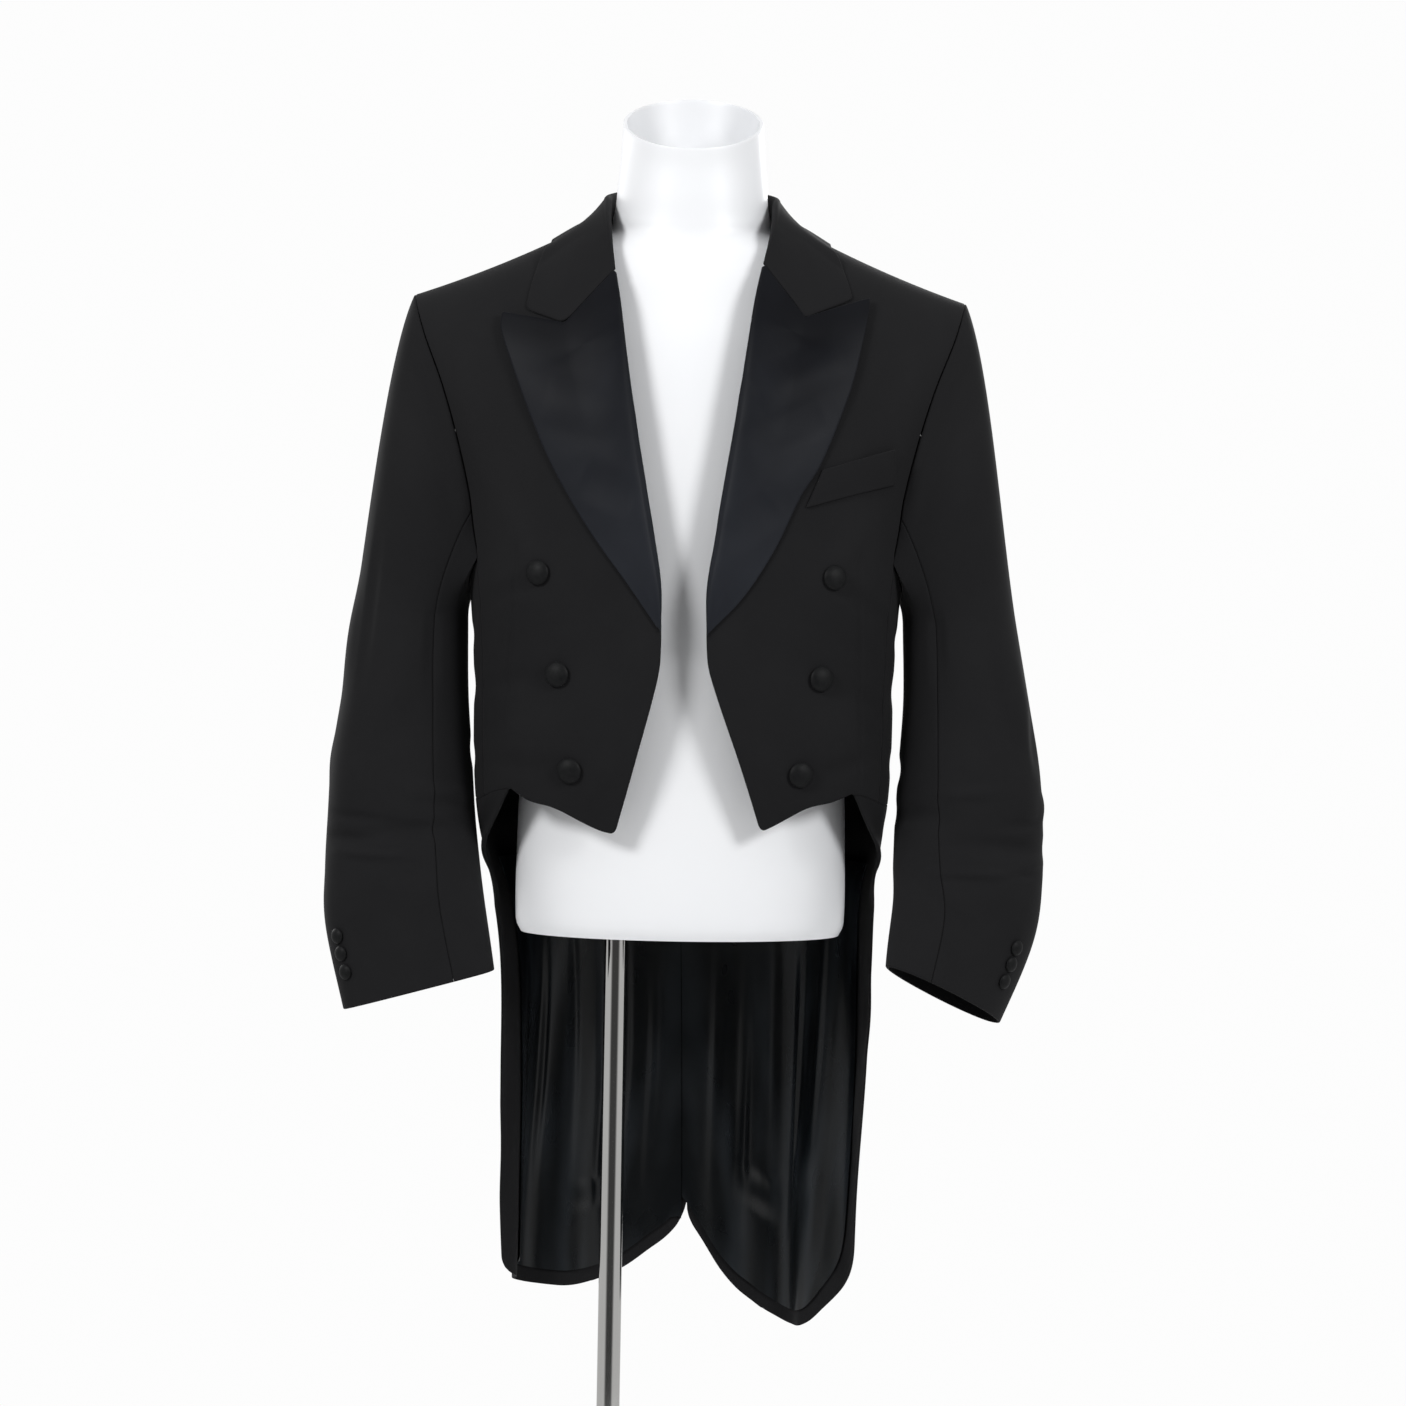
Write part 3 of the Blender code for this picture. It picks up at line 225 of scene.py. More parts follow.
def outsideBody(place):  # below 0 inside the coat's body
    x, y, height = np.abs(place[..., 0]), place[..., 1], place[..., 2]
    power, roundness = sectionAt("squareness", height), coat["shoulderRoundness"]
    depth = np.where(y < 0, sectionAt("front", height), sectionAt("back", height))
    across = 1 - np.minimum(x / sectionAt("halfWidth", height), 1.0) ** power
    depth = depth * np.maximum(across, 1e-6) ** (1 / power)
    rise = np.maximum(height - coat["chestHeight"], 0) / (shoulderHeight(x) - coat["chestHeight"])
    return (np.abs(y) / depth) ** roundness + rise**roundness - 1


def clearOfBody(place, lift):  # moves points out until they lie at least lift off the body
    step = 0.0003
    for _ in range(6):
        value = outsideBody(place)
        slope = np.stack([(outsideBody(place + axis * step) - value) / step for axis in np.eye(3)], -1)
        size = np.linalg.norm(slope, axis=-1)
        short = np.maximum(lift - value / size, 0)
        place = place + slope / size[..., None] * short[..., None]
    return place


def along(points):  # length run so far along a line of points
    return np.concatenate([[0.0], np.cumsum(np.linalg.norm(np.diff(points, axis=0), axis=1))])


def lineThrough(points):  # smooth line through points by share of its length
    points = np.asarray(points, float)
    shares = along(points) / along(points)[-1]
    return lambda t: [through(shares, points[:, k], t) for k in range(points.shape[1])]


def coons(inner, outer, bottom, top):  # patch between four edges, each giving (distance from middle, height)
    corners = [edge(np.array(float(end))) for edge, end in ((bottom, 0), (bottom, 1), (top, 0), (top, 1))]

    def place(u, v):
        sides = (inner(v), outer(v), bottom(u), top(u))
        weights = ((1 - u) * (1 - v), u * (1 - v), (1 - u) * v, u * v)
        return [
            (1 - u) * sides[0][k] + u * sides[1][k] + (1 - v) * sides[2][k] + v * sides[3][k]
            - sum(weight * corner[k] for weight, corner in zip(weights, corners))
            for k in (0, 1)
        ]

    return place


def crease(across, upward, start, end, width, depth):  # soft trough or ridge between two places
    line = np.array(end, float) - np.array(start, float)
    t = ((across - start[0]) * line[0] + (upward - start[1]) * line[1]) / np.dot(line, line)
    held = np.clip(t, 0, 1)
    apart = np.hypot(across - start[0] - held * line[0], upward - start[1] - held * line[1])
    return depth * bump(apart, width) * (1 - (2 * held - 1) ** 4 * 0.7)


def edgeLines(count, length, edge):  # even lines with three close ones inside each edge
    near = np.array([0.0, 0.14, 0.48, 1.15]) * edge / length
    return np.concatenate([near[:-1], np.linspace(near[-1], 1 - near[-1], count - 5), 1 - near[:-1][::-1]])


def roundedEdge(distance, edge):
    short = np.clip(edge - distance, 0, edge)
    return edge - np.sqrt(np.maximum(edge * edge - short * short, 0))


# Cloth wall from a grid: its upper face on the surface of points, its lower face one wall behind
def sewSheet(name, point, columns, rows, wall, facing, edge=0.0013, relief=None, inner=None):
    middle = np.linspace(0, 1, 25)
    width = along(point(middle, np.full(25, 0.5)))[-1]
    length = along(point(np.full(25, 0.5), middle))[-1]
    lineU, lineV = edgeLines(columns, width, edge), edgeLines(rows, length, edge)
    u, v = np.meshgrid(lineU, lineV)
    places = point(u, v)
    normals = unit(np.cross(np.gradient(places, axis=1), np.gradient(places, axis=0)))
    turned = 1 if np.sum(normals[rows // 2, columns // 2] * facing(places[rows // 2, columns // 2])) > 0 else -1
    normals = normals * turned
    stepU = np.linalg.norm(np.diff(places, axis=1), axis=2)
    stepV = np.linalg.norm(np.diff(places, axis=0), axis=2)
    runU = np.concatenate([np.zeros((rows + 1, 1)), np.cumsum(stepU, axis=1)], axis=1)
    runV = np.concatenate([np.zeros((1, columns + 1)), np.cumsum(stepV, axis=0)], axis=0)
    drop = roundedEdge(np.minimum(runU, runU[:, -1:] - runU), edge)
    drop = drop + roundedEdge(np.minimum(runV, runV[-1:, :] - runV), edge)
    raised = relief(u, v, places) if relief else np.zeros(u.shape)
    top = places + normals * (raised - np.minimum(drop, edge * 1.2))[..., None]
    behind = places - normals * (wall - (raised if inner is None else inner * raised))[..., None]

    shape = bmesh.new()
    bmesh.ops.create_grid(shape, x_segments=columns, y_segments=rows, size=0.5)
    lifted = bmesh.ops.extrude_face_region(shape, geom=shape.faces[:])["geom"]
    raisedVerts = [vertex for vertex in lifted if isinstance(vertex, bmesh.types.BMVert)]
    bmesh.ops.translate(shape, verts=raisedVerts, vec=(0, 0, 1))
    uvs = []
    for vertex in shape.verts:
        i, j = round((vertex.co.x + 0.5) * columns), round((vertex.co.y + 0.5) * rows)
        vertex.co = top[j, i] if vertex.co.z > 0.5 else behind[j, i]
        uvs.append((lineU[i] * width, lineV[j] * length))
    if shape.calc_volume(signed=True) < 0:
        bmesh.ops.reverse_faces(shape, faces=shape.faces)
    return finishMesh(name, shape, uvs)


def finishMesh(name, shape, uvs=None, sharp=55):
    mesh = bpy.data.meshes.new(name)
    shape.to_mesh(mesh)
    shape.free()
    if uvs is not None:
        layer = mesh.uv_layers.new(name="cloth")
        loops = np.zeros(len(mesh.loops), np.int32)
        mesh.loops.foreach_get("vertex_index", loops)
        layer.data.foreach_set("uv", np.asarray(uvs, np.float32)[loops].ravel())
    mesh.shade_smooth()
    mesh.set_sharp_from_angle(angle=math.radians(sharp))
    piece = bpy.data.objects.new(name, mesh)
    bpy.context.scene.collection.objects.link(piece)
    return piece


def outOfBody(place):
    return np.array([place[0], place[1], 0.0])


def upAndOut(place):
    return np.array([place[0], place[1], max(place[2] - coat["chestHeight"], 0)])


def risingRows(split):  # even rows to the chest, then crowded towards the shoulder's ridge
    def rise(v):
        over = np.clip((v - split) / (1 - split), 0, 1)
        turn = (1 - (1 - over) ** coat["ridgeCrowding"]) * np.pi / 2
        curved = split + (1 - split) * np.sin(turn) ** (2 / coat["shoulderRoundness"])
        return np.where(v <= split, v, curved)

    return rise


def waistSeam(angle):
    share = (math.radians(78) - angle) / math.radians(78 - 51)
    return coat["waistHeight"] + 0.010 * smooth(share)


def armholeHeight(angle):
    share = (angle - np.pi / 2) / (np.pi / 2 - coat["frontSeamAngle"])
    return coat["armholeBase"] + (coat["armholeCorner"] - coat["armholeBase"]) * np.minimum(share**2, 1.0)


def armholePlace(turn):  # from the shoulder tip at 0 over the front to the underarm at pi
    corner, tip = coat["armholeCornerTurn"], coat["shoulderTip"][1]
    back = np.sin(turn) < 0
    half = np.abs(np.remainder(turn + np.pi, 2 * np.pi) - np.pi)
    drop = np.clip((1 - np.cos(half)) / (1 - math.cos(corner)), 0, 1)
    height = tip + (coat["armholeCorner"] - tip) * drop
    seamX = through(armhole["height"], armhole["x"], height)
    upperAngle = np.where(back, angleAt(seamX, height, True), angleAt(seamX, height))
    share = np.clip((half - corner) / (np.pi - corner), 0, 1)
    lowerAngle = coat["frontSeamAngle"] + (np.pi / 2 - coat["frontSeamAngle"]) * share
    lowerAngle = np.where(back, np.pi - lowerAngle, lowerAngle)
    upper = half <= corner
    angle = np.where(upper, upperAngle, lowerAngle)
    return angle, np.where(upper, height, armholeHeight(angle))


def roundCorners(u, v, width, length, radii):  # radii by corner: 0 or 1 across, 0 or 1 up
    for (farU, farV), radius in radii.items():
        a = (1 - u if farU else u) * width
        b = (1 - v if farV else v) * length
        x, y = np.clip(1 - a / radius, 0, 1), np.clip(1 - b / radius, 0, 1)
        inside = (x > 0) & (y > 0)
        a = np.where(inside, radius * (1 - x * np.sqrt(1 - y * y / 2)), a) / width
        b = np.where(inside, radius * (1 - y * np.sqrt(1 - x * x / 2)), b) / length
        u, v = (1 - a if farU else a), (1 - b if farV else b)
    return u, v


def foldsOn(rows, side):  # soft troughs and ridges: from and to (distance, height), width, depth
    def relief(u, v, places):
        across, upward = places[..., 0] * sideSign[side], places[..., 2]
        return sum(crease(across, upward, *row) for row in rows)

    return relief


frontCut = {
    "columns": 84,
    "rows": 160,
    "pointRadius": 0.005,
    "folds": {
        "left": [
            ((0.1456, 1.178), (0.1505, 0.980), 0.0030, -0.0009),
            ((0.168, 1.340), (0.160, 1.225), 0.0240, -0.0030),
            ((0.150, 1.200), (0.118, 1.150), 0.0150, 0.0015),
            ((0.125, 1.150), (0.172, 1.120), 0.0120, -0.0014),
            ((0.115, 1.068), (0.170, 1.048), 0.0130, -0.0015),
            ((0.100, 0.985), (0.168, 1.010), 0.0120, -0.0012),
            ((0.060, 1.010), (0.092, 0.960), 0.0160, 0.0014),
        ],
        "right": [
            ((0.1405, 1.180), (0.1500, 1.030), 0.0030, -0.0009),
            ((0.172, 1.335), (0.158, 1.235), 0.0220, -0.0027),
            ((0.155, 1.215), (0.122, 1.158), 0.0160, 0.0014),
            ((0.122, 1.150), (0.170, 1.132), 0.0120, -0.0012),
            ((0.105, 1.070), (0.165, 1.062), 0.0130, -0.0014),
            ((0.095, 0.992), (0.166, 0.998), 0.0140, -0.0014),
            ((0.056, 1.000), (0.085, 0.955), 0.0140, 0.0012),
        ],
    },
}


def frontPanel(side):
    chest, chestHeight = 0.52, coat["chestHeight"]
    pointX = frontEdge[side][0]
    pointHeight = through(frontHem["x"], frontHem[side], pointX)
    sideAngle = coat["frontSeamAngle"] - coat["sideSeamTurn"]
    (tipX, tipHeight), (neckX, neckHeight) = coat["shoulderTip"], coat["neckPoint"]

    def inner(v):
        low = pointHeight + (chestHeight - pointHeight) * v / chest
        high = chestHeight + (neckHeight - chestHeight) * (v - chest) / (1 - chest)
        height = np.where(v <= chest, low, high)
        return through(frontEdge["height"], frontEdge[side], height), height

    def outer(v):
        seam = waistSeam(sideAngle) + coat["waistGap"]
        low = seam + (coat["armholeCorner"] - seam) * v / chest
        high = coat["armholeCorner"] + (tipHeight - coat["armholeCorner"]) * (v - chest) / (1 - chest)
        lower = v <= chest
        height = np.where(lower, low, high)
        return np.where(lower, xAt(sideAngle, low), through(armhole["height"], armhole["x"], high)), height

    def bottom(u):
        x = pointX + (outer(np.array(0.0))[0] - pointX) * u
        seam = waistSeam(angleAt(x, coat["waistHeight"])) + coat["waistGap"]
        return x, np.where(x >= frontHem["x"][-1], seam, through(frontHem["x"], frontHem[side], x))

    def top(u):
        x = neckX + (tipX - neckX) * u
        return x, shoulderHeight(x)

    place, rise = coons(inner, outer, bottom, top), risingRows(chest)

    def point(u, v):
        u, v = roundCorners(u, v, 0.13, 0.52, {(0, 0): frontCut["pointRadius"]})
        x, height = place(u, rise(v))
        return bodyPoint(side, angleAt(x, height), height) - np.array([0, coat["seamGap"] / 2, 0])

    relief = foldsOn(frontCut["folds"][side], side)
    columns, rows = frontCut["columns"], frontCut["rows"]
    return sewSheet(f"frontPanel_{side}", point, columns, rows, coat["wall"], upAndOut, relief=relief)


sideCut = {"columns": 48, "rows": 64}


def sidePanel(side):
    seamAngle, corner = coat["frontSeamAngle"], coat["armholeCorner"]

    def point(u, v):
        guess = coat["waistHeight"] + (corner - coat["waistHeight"]) * v
        end = angleAt(through(backSeam["height"], backSeam["x"], guess) + coat["seamGap"], guess, True)
        start, end = seamAngle + coat["sideSeamTurn"], end - coat["sideSeamTurn"]
        angle = start + (end - start) * u
        top = np.where(angle < np.pi - seamAngle, armholeHeight(angle), corner)
        bottom = waistSeam(angle) + coat["waistGap"]
        return bodyPoint(side, angle, bottom + (top - bottom) * v)

    def relief(u, v, places):
        height = places[..., 2]
        drag = bump(height - (1.050 + 0.06 * u), 0.018) * np.sin(np.pi * u) * -0.0024
        hollow = bump(height - (1.118 - 0.05 * u), 0.016) * np.sin(np.pi * u) * -0.0016
        return drag + hollow + bump(height - (1.004 - 0.02 * u), 0.014) * np.sin(np.pi * u) * -0.0020

    columns, rows = sideCut["columns"], sideCut["rows"]
    return sewSheet(f"sidePanel_{side}", point, columns, rows, coat["wall"], outOfBody, relief=relief)


backCut = {
    "columns": 72,
    "rows": 240,
    "tailRadius": 0.008,
    "folds": {
        "left": [
            ((0.030, 1.345), (0.165, 1.285), 0.0220, -0.0034),
            ((0.060, 1.262), (0.172, 1.222), 0.0200, -0.0030),
            ((0.095, 1.205), (0.170, 1.180), 0.0140, -0.0018),
            ((0.022, 1.100), (0.085, 1.075), 0.0160, -0.0014),
            ((0.018, 1.030), (0.058, 1.006), 0.0140, -0.0016),
            ((0.012, 0.945), (0.048, 0.905), 0.0150, -0.0020),
            ((0.030, 0.880), (0.040, 0.620), 0.0160, 0.0016),
        ],
        "right": [
            ((0.040, 1.355), (0.170, 1.300), 0.0230, -0.0032),
            ((0.048, 1.250), (0.170, 1.236), 0.0200, -0.0032),
            ((0.100, 1.200), (0.168, 1.186), 0.0130, -0.0016),
            ((0.020, 1.112), (0.078, 1.094), 0.0160, -0.0013),
            ((0.016, 1.040), (0.066, 1.014), 0.0140, -0.0017),
            ((0.014, 0.936), (0.050, 0.898), 0.0150, -0.0020),
            ((0.034, 0.860), (0.028, 0.600), 0.0180, 0.0018),
        ],
    },
}


def middleX(side, height):
    opening = through(vent["height"], vent["x"], height) - sectionAt("shift", height)
    return opening if side == "left" else -opening


def backPanel(side):
    waist, chest, gap = 10 / 29, 20 / 29, coat["seamGap"]
    waistHeight = coat["waistHeight"]
    (tipX, tipHeight), (neckX, neckHeight) = coat["shoulderTip"], coat["neckPoint"]
    lowInner = through(tailHem["x"], tailHem[side], middleX(side, vent["height"][1]))
    lowOuter = through(tailHem["x"], tailHem[side], backSeam["x"][0])

    def climb(low, middle, high, v):
        body = waistHeight + (middle - waistHeight) * (v - waist) / (chest - waist)
        upper = middle + (high - middle) * (v - chest) / (1 - chest)
        return np.where(v <= waist, low + (waistHeight - low) * v / waist, np.where(v <= chest, body, upper))

    def inner(v):
        height = climb(lowInner, coat["chestHeight"], coat["napeHeight"], v)
        return middleX(side, height) + gap, height

    def outer(v):
        height = climb(lowOuter, coat["armholeCorner"], tipHeight, v)
        lower = through(backSeam["height"], backSeam["x"], height)
        return np.where(v <= chest, lower, through(armhole["height"], armhole["x"], height)), height

    def bottom(u):
        x = middleX(side, lowInner) + gap
        x = x + (through(backSeam["height"], backSeam["x"], lowOuter) - x) * u
        return x, through(tailHem["x"], tailHem[side], x)

    def top(u):
        x = gap + (tipX - gap) * u
        nape = coat["napeHeight"] + (neckHeight - coat["napeHeight"]) * (x / neckX) ** 2
        return x, np.where(x < neckX, nape, shoulderHeight(x))

    place, rise = coons(inner, outer, bottom, top), risingRows(chest)

    def point(u, v):
        u, v = roundCorners(u, v, 0.07, 1.0, {(0, 0): backCut["tailRadius"]})
        x, height = place(u, rise(v))
        return bodyPoint(side, angleAt(x, height, True), height) + np.array([0, gap / 2, 0])

    relief = foldsOn(backCut["folds"][side], side)
    columns, rows = backCut["columns"], backCut["rows"]
    return sewSheet(f"backPanel_{side}", point, columns, rows, coat["wall"], upAndOut, relief=relief)


skirtCut = {
    "columns": 88,
    "rows": 136,
    "cornerRadius": {"left": 0.064, "right": 0.014},
    "liningWall": 0.0010,
    "liningGap": 0.0016,
    "liningHemRise": 0.014,
    "liningTopDrop": 0.055,
    # across from the back seam, up from the hem, half width, half height, depth outwards
    "folds": {
        "left": [
            (0.93, 0.965, 0.10, 0.050, -0.0035),
            (0.98, 0.900, 0.07, 0.045, 0.0030),
            (0.96, 0.830, 0.08, 0.050, -0.0022),
            (0.60, 0.940, 0.25, 0.040, -0.0018),
            (0.86, 0.380, 0.14, 0.120, -0.0020),
            (0.95, 0.560, 0.10, 0.090, 0.0020),
        ],
        "right": [
            (0.94, 0.960, 0.10, 0.045, -0.0032),
            (0.97, 0.895, 0.08, 0.050, 0.0032),
            (0.96, 0.815, 0.08, 0.050, -0.0024),
            (0.55, 0.945, 0.22, 0.040, -0.0016),
            (0.88, 0.420, 0.12, 0.130, 0.0018),
            (0.95, 0.250, 0.10, 0.110, -0.0020),
        ],
    },
    "liningFolds": {
        "left": [
            (0.10, 0.50, 0.030, 0.50, 0.0026),
            (0.22, 0.42, 0.035, 0.45, -0.0029),
            (0.36, 0.55, 0.030, 0.42, 0.0022),
            (0.52, 0.48, 0.040, 0.40, -0.0026),
            (0.70, 0.60, 0.035, 0.35, 0.0021),
            (0.30, 0.22, 0.160, 0.06, -0.0029),
            (0.62, 0.30, 0.140, 0.07, 0.0026),
        ],
        "right": [
            (0.08, 0.46, 0.030, 0.48, -0.0026),
            (0.20, 0.52, 0.032, 0.46, 0.0029),
            (0.34, 0.45, 0.035, 0.44, -0.0022),
            (0.50, 0.55, 0.035, 0.42, 0.0026),
            (0.68, 0.50, 0.040, 0.38, -0.0022),
            (0.40, 0.18, 0.150, 0.05, 0.0026),
        ],
    },
}


def patchFolds(rows):
    def relief(u, v, places):
        return sum(
            depth * bump(u - across, halfU) * bump(v - upward, halfV)
            for across, upward, halfU, halfV, depth in rows
        )

    return relief


# Outer part of a tail: from a line at the back round to its front edge, from the hem up to the waist
def tailPlace(side, inset, hemRise, topDrop, startAngle):
    def frontAngle(height):
        edge = through(skirtEdge["height"], skirtEdge["angle"], height)
        return np.radians(edge + inset * through(skirtEdge["height"], skirtEdge["facing"], height))

    def hemAt(angle):
        height = np.full(np.shape(angle), 0.52)
        for _ in range(4):
            height = through(tailHem["x"], tailHem[side], xAt(angle, height))
        return height + hemRise

    def place(u, v):
        height = np.full(np.shape(u), 0.7)
        for _ in range(6):
            start = startAngle(height)
            angle = start + (frontAngle(height) - start) * u
            low = hemAt(angle)
            height = low + (waistSeam(angle) - topDrop - low) * v
        return angle, height

    return place


def skirtPanel(side):
    def seam(height):
        x = through(backSeam["height"], backSeam["x"], height) - coat["seamGap"] * 4
        return angleAt(x, height, True)

    place = tailPlace(side, 0, 0, 0, seam)

    def point(u, v):
        u, v = roundCorners(u, v, 0.13, 0.46, {(1, 0): skirtCut["cornerRadius"][side]})
        return bodyPoint(side, *place(u, v))

    relief = patchFolds(skirtCut["folds"][side])
    columns, rows = skirtCut["columns"], skirtCut["rows"]
    return sewSheet(f"skirtPanel_{side}", point, columns, rows, coat["wall"], outOfBody, relief=relief)


def liningPanel(side):
    def middle(height):  # the linings meet beside the vent, so that no light shows through it
        return angleAt(middleX(side, height) + (0.0052 if side == "right" else -0.0045), height, True)

    place = tailPlace(side, 1, skirtCut["liningHemRise"], skirtCut["liningTopDrop"], middle)
    depth = -(coat["wall"] + skirtCut["liningGap"])

    def point(u, v):
        u, v = roundCorners(u, v, 0.2, 0.42, {(1, 0): skirtCut["cornerRadius"][side] * 0.8})
        return bodyLifted(side, *place(u, v), depth)

    folds = patchFolds(skirtCut["liningFolds"][side])

    def relief(u, v, places):  # only inwards, off the wool
        return np.minimum(folds(u, v, places), 0) - np.maximum(folds(u, v, places), 0) * 0.7

    name, columns, rows = f"tailLining_{side}", skirtCut["columns"], skirtCut["rows"]
    wall = skirtCut["liningWall"]
    return sewSheet(name, point, columns, rows, wall, outOfBody, edge=0.0007, relief=relief)


lapelCut = {
    "columns": 72,
    "rows": 120,
    "wall": 0.0015,
    "lift": 0.0024,
    "belly": 0.0045,
    "rollRadius": 0.0026,
    "rollShare": 0.07,
    "rollEnd": 0.22,  # share of the length over which the roll grows from the lower end
    "tipLift": 0.0032,
    # outline from the lowest point round the outside to the tip, the gorge and the top of the roll line
    "left": [
        (0.0225, 1.1090), (0.0480, 1.1360), (0.0740, 1.1770), (0.0944, 1.2210), (0.1105, 1.2480),
        (0.1330, 1.3070), (0.1420, 1.3427), (0.1495, 1.3800), (0.1500, 1.3905), (0.0960, 1.3720),
        (0.0640, 1.4160),
    ],
    "right": [
        (0.0225, 1.1120), (0.0480, 1.1480), (0.0740, 1.1830), (0.0960, 1.2170), (0.1140, 1.2500),
        (0.1300, 1.2870), (0.1460, 1.3290), (0.1565, 1.3600), (0.1555, 1.3730), (0.1030, 1.3640),
        (0.0675, 1.4090),
    ],
    "folds": {
        "left": [
            ((0.056, 1.300), (0.128, 1.338), 0.0240, 0.0022),
            ((0.050, 1.262), (0.112, 1.290), 0.0200, -0.0012),
            ((0.030, 1.180), (0.072, 1.215), 0.0200, -0.0010),
        ],
        "right": [
            ((0.055, 1.285), (0.118, 1.300), 0.0260, 0.0012),
            ((0.040, 1.215), (0.085, 1.235), 0.0220, -0.0012),
        ],
    },
}


def lapel(side):
    outline = np.array(lapelCut[side])
    outerLine = lineThrough(outline[:9])
    start, tip, gorge, rollTop = outline[0], outline[8], outline[9], outline[10]
    first, second = np.linalg.norm(gorge - rollTop), np.linalg.norm(tip - gorge)
    gorgeShare = first / (first + second)
    low, rollEnd = start[1] - 0.004, lapelCut["rollEnd"]

    def inner(v):
        height = low + (rollTop[1] - low) * v
        return through(frontEdge["height"], frontEdge[side], height) - 0.0012 * smooth(v / rollEnd), height

    def corner(v):
        return np.array([float(value) for value in inner(np.array(v))])

    def bottom(u):
        return [corner(0.0)[k] + (start[k] - corner(0.0)[k]) * u for k in (0, 1)]

    def top(u):
        inside, outside = u / gorgeShare, (u - gorgeShare) / (1 - gorgeShare)
        return [
            np.where(
                u <= gorgeShare,
                corner(1.0)[k] + (gorge[k] - corner(1.0)[k]) * inside,
                gorge[k] + (tip[k] - gorge[k]) * outside,
            )
            for k in (0, 1)
        ]

    place = coons(inner, outerLine, bottom, top)
    roll, radius = lapelCut["rollShare"], lapelCut["rollRadius"]

    def point(u, v):
        across = np.clip((u - roll) / (1 - roll), 0, 1)
        x, height = place(across, v)
        belly = lapelCut["belly"] * np.sin(np.pi * across**0.5) * np.sin(np.pi * np.clip(v, 0, 1) ** 0.8)
        tipLift = lapelCut["tipLift"] * smooth((across - 0.45) / 0.55) * smooth((v - 0.45) / 0.5)
        turn = np.pi * 0.9 * np.clip(1 - u / roll, 0, 1)
        grown = radius * (0.1 + 0.9 * smooth(v / rollEnd))
        lift = lapelCut["lift"] + belly + tipLift - grown * (1 - np.cos(turn))
        return frontLifted(side, x - grown * np.sin(turn), height, lift)

    relief = foldsOn(lapelCut["folds"][side], side)
    columns, rows = lapelCut["columns"], lapelCut["rows"]
    return sewSheet(f"lapelFacing_{side}", point, columns, rows, lapelCut["wall"], upAndOut, relief=relief)


collarCut = {
    "columns": 160,
    "rows": 52,
    "wall": 0.0015,
    "lift": 0.0019,
    "extraLift": 0.0014,
    "belly": 0.0014,
    "foldHalf": 0.0032,
    "foldLeast": 0.0012,
    "standLeast": 0.0011,
    "footHeight": 1.4710,
    "gorgeGap": 0.0006,
    # from the front corner round to the middle of the back
    "foldShare": [0.24, 0.42, 0.58, 0.78, 1.00],
    "fold": [
        (0.0696, -0.0560, 1.4550), (0.0722, -0.0220, 1.4810), (0.0722, 0.0180, 1.4950),
        (0.0520, 0.0620, 1.5080), (0.0000, 0.0800, 1.5120),
    ],
    "edgeShare": [0.00, 0.20, 0.38, 0.62, 0.80, 1.00],
    "edgeX": [0.1370, 0.1300, 0.1200, 0.1040, 0.0600, 0.0000],
    "left": [1.3900, 1.4140, 1.4380, 1.4400, 1.4460, 1.4480],
    "right": [1.3760, 1.4120, 1.4380, 1.4400, 1.4460, 1.4480],
    "fallSteps": [0.05, 0.12, 0.22, 0.34, 0.45, 0.56, 0.67, 0.78, 0.89, 1.0],
}


def throughPoints(keys, points, place):
    points = np.asarray(points, float)
    return np.stack([through(keys, points[:, k], place) for k in range(points.shape[1])], -1)


def collarLines(side):
    cut, sign = collarCut, sideSign[side]
    outline = np.array(lapelCut[side])
    gorge, rollTop = outline[9], outline[10]
    rollHeight = rollTop[1] + 0.0022
    rollX = through(frontEdge["height"], frontEdge[side], rollHeight) - 0.0030
    roll = np.array([float(rollX), rollHeight])
    kink = gorge + np.array([cut["gorgeGap"] / 2, cut["gorgeGap"]])
    corner = np.array([cut["edgeX"][0], cut[side][0]])
    first = np.linalg.norm(kink - roll) / (np.linalg.norm(kink - roll) + np.linalg.norm(corner - kink))
    start = frontLifted(side, roll[0], roll[1], cut["lift"])
    folds = [start] + [np.array([sign * x, y, height]) for x, y, height in cut["fold"]]
    edges = []
    for i, (x, height) in enumerate(zip(cut["edgeX"], cut[side])):
        edges.append(bodyLifted(side, angleAt(x, height, i >= 3), height, cut["lift"]))

    def fold(share):
        return throughPoints([0.0] + cut["foldShare"], folds, share)

    def edge(share):
        return throughPoints(cut["edgeShare"], edges, share)

    def gorgeShift(t):  # the front edge follows the gorge seam, then the upper edge of the lapel's peak
        flat = roll + (kink - roll) * t / first if t <= first else kink + (corner - kink) * (t - first) / (1 - first)
        return frontLifted(side, flat[0], flat[1], cut["lift"]) - (fold(0.0) * (1 - t) + edge(0.0) * t)

    return fold, edge, gorgeShift


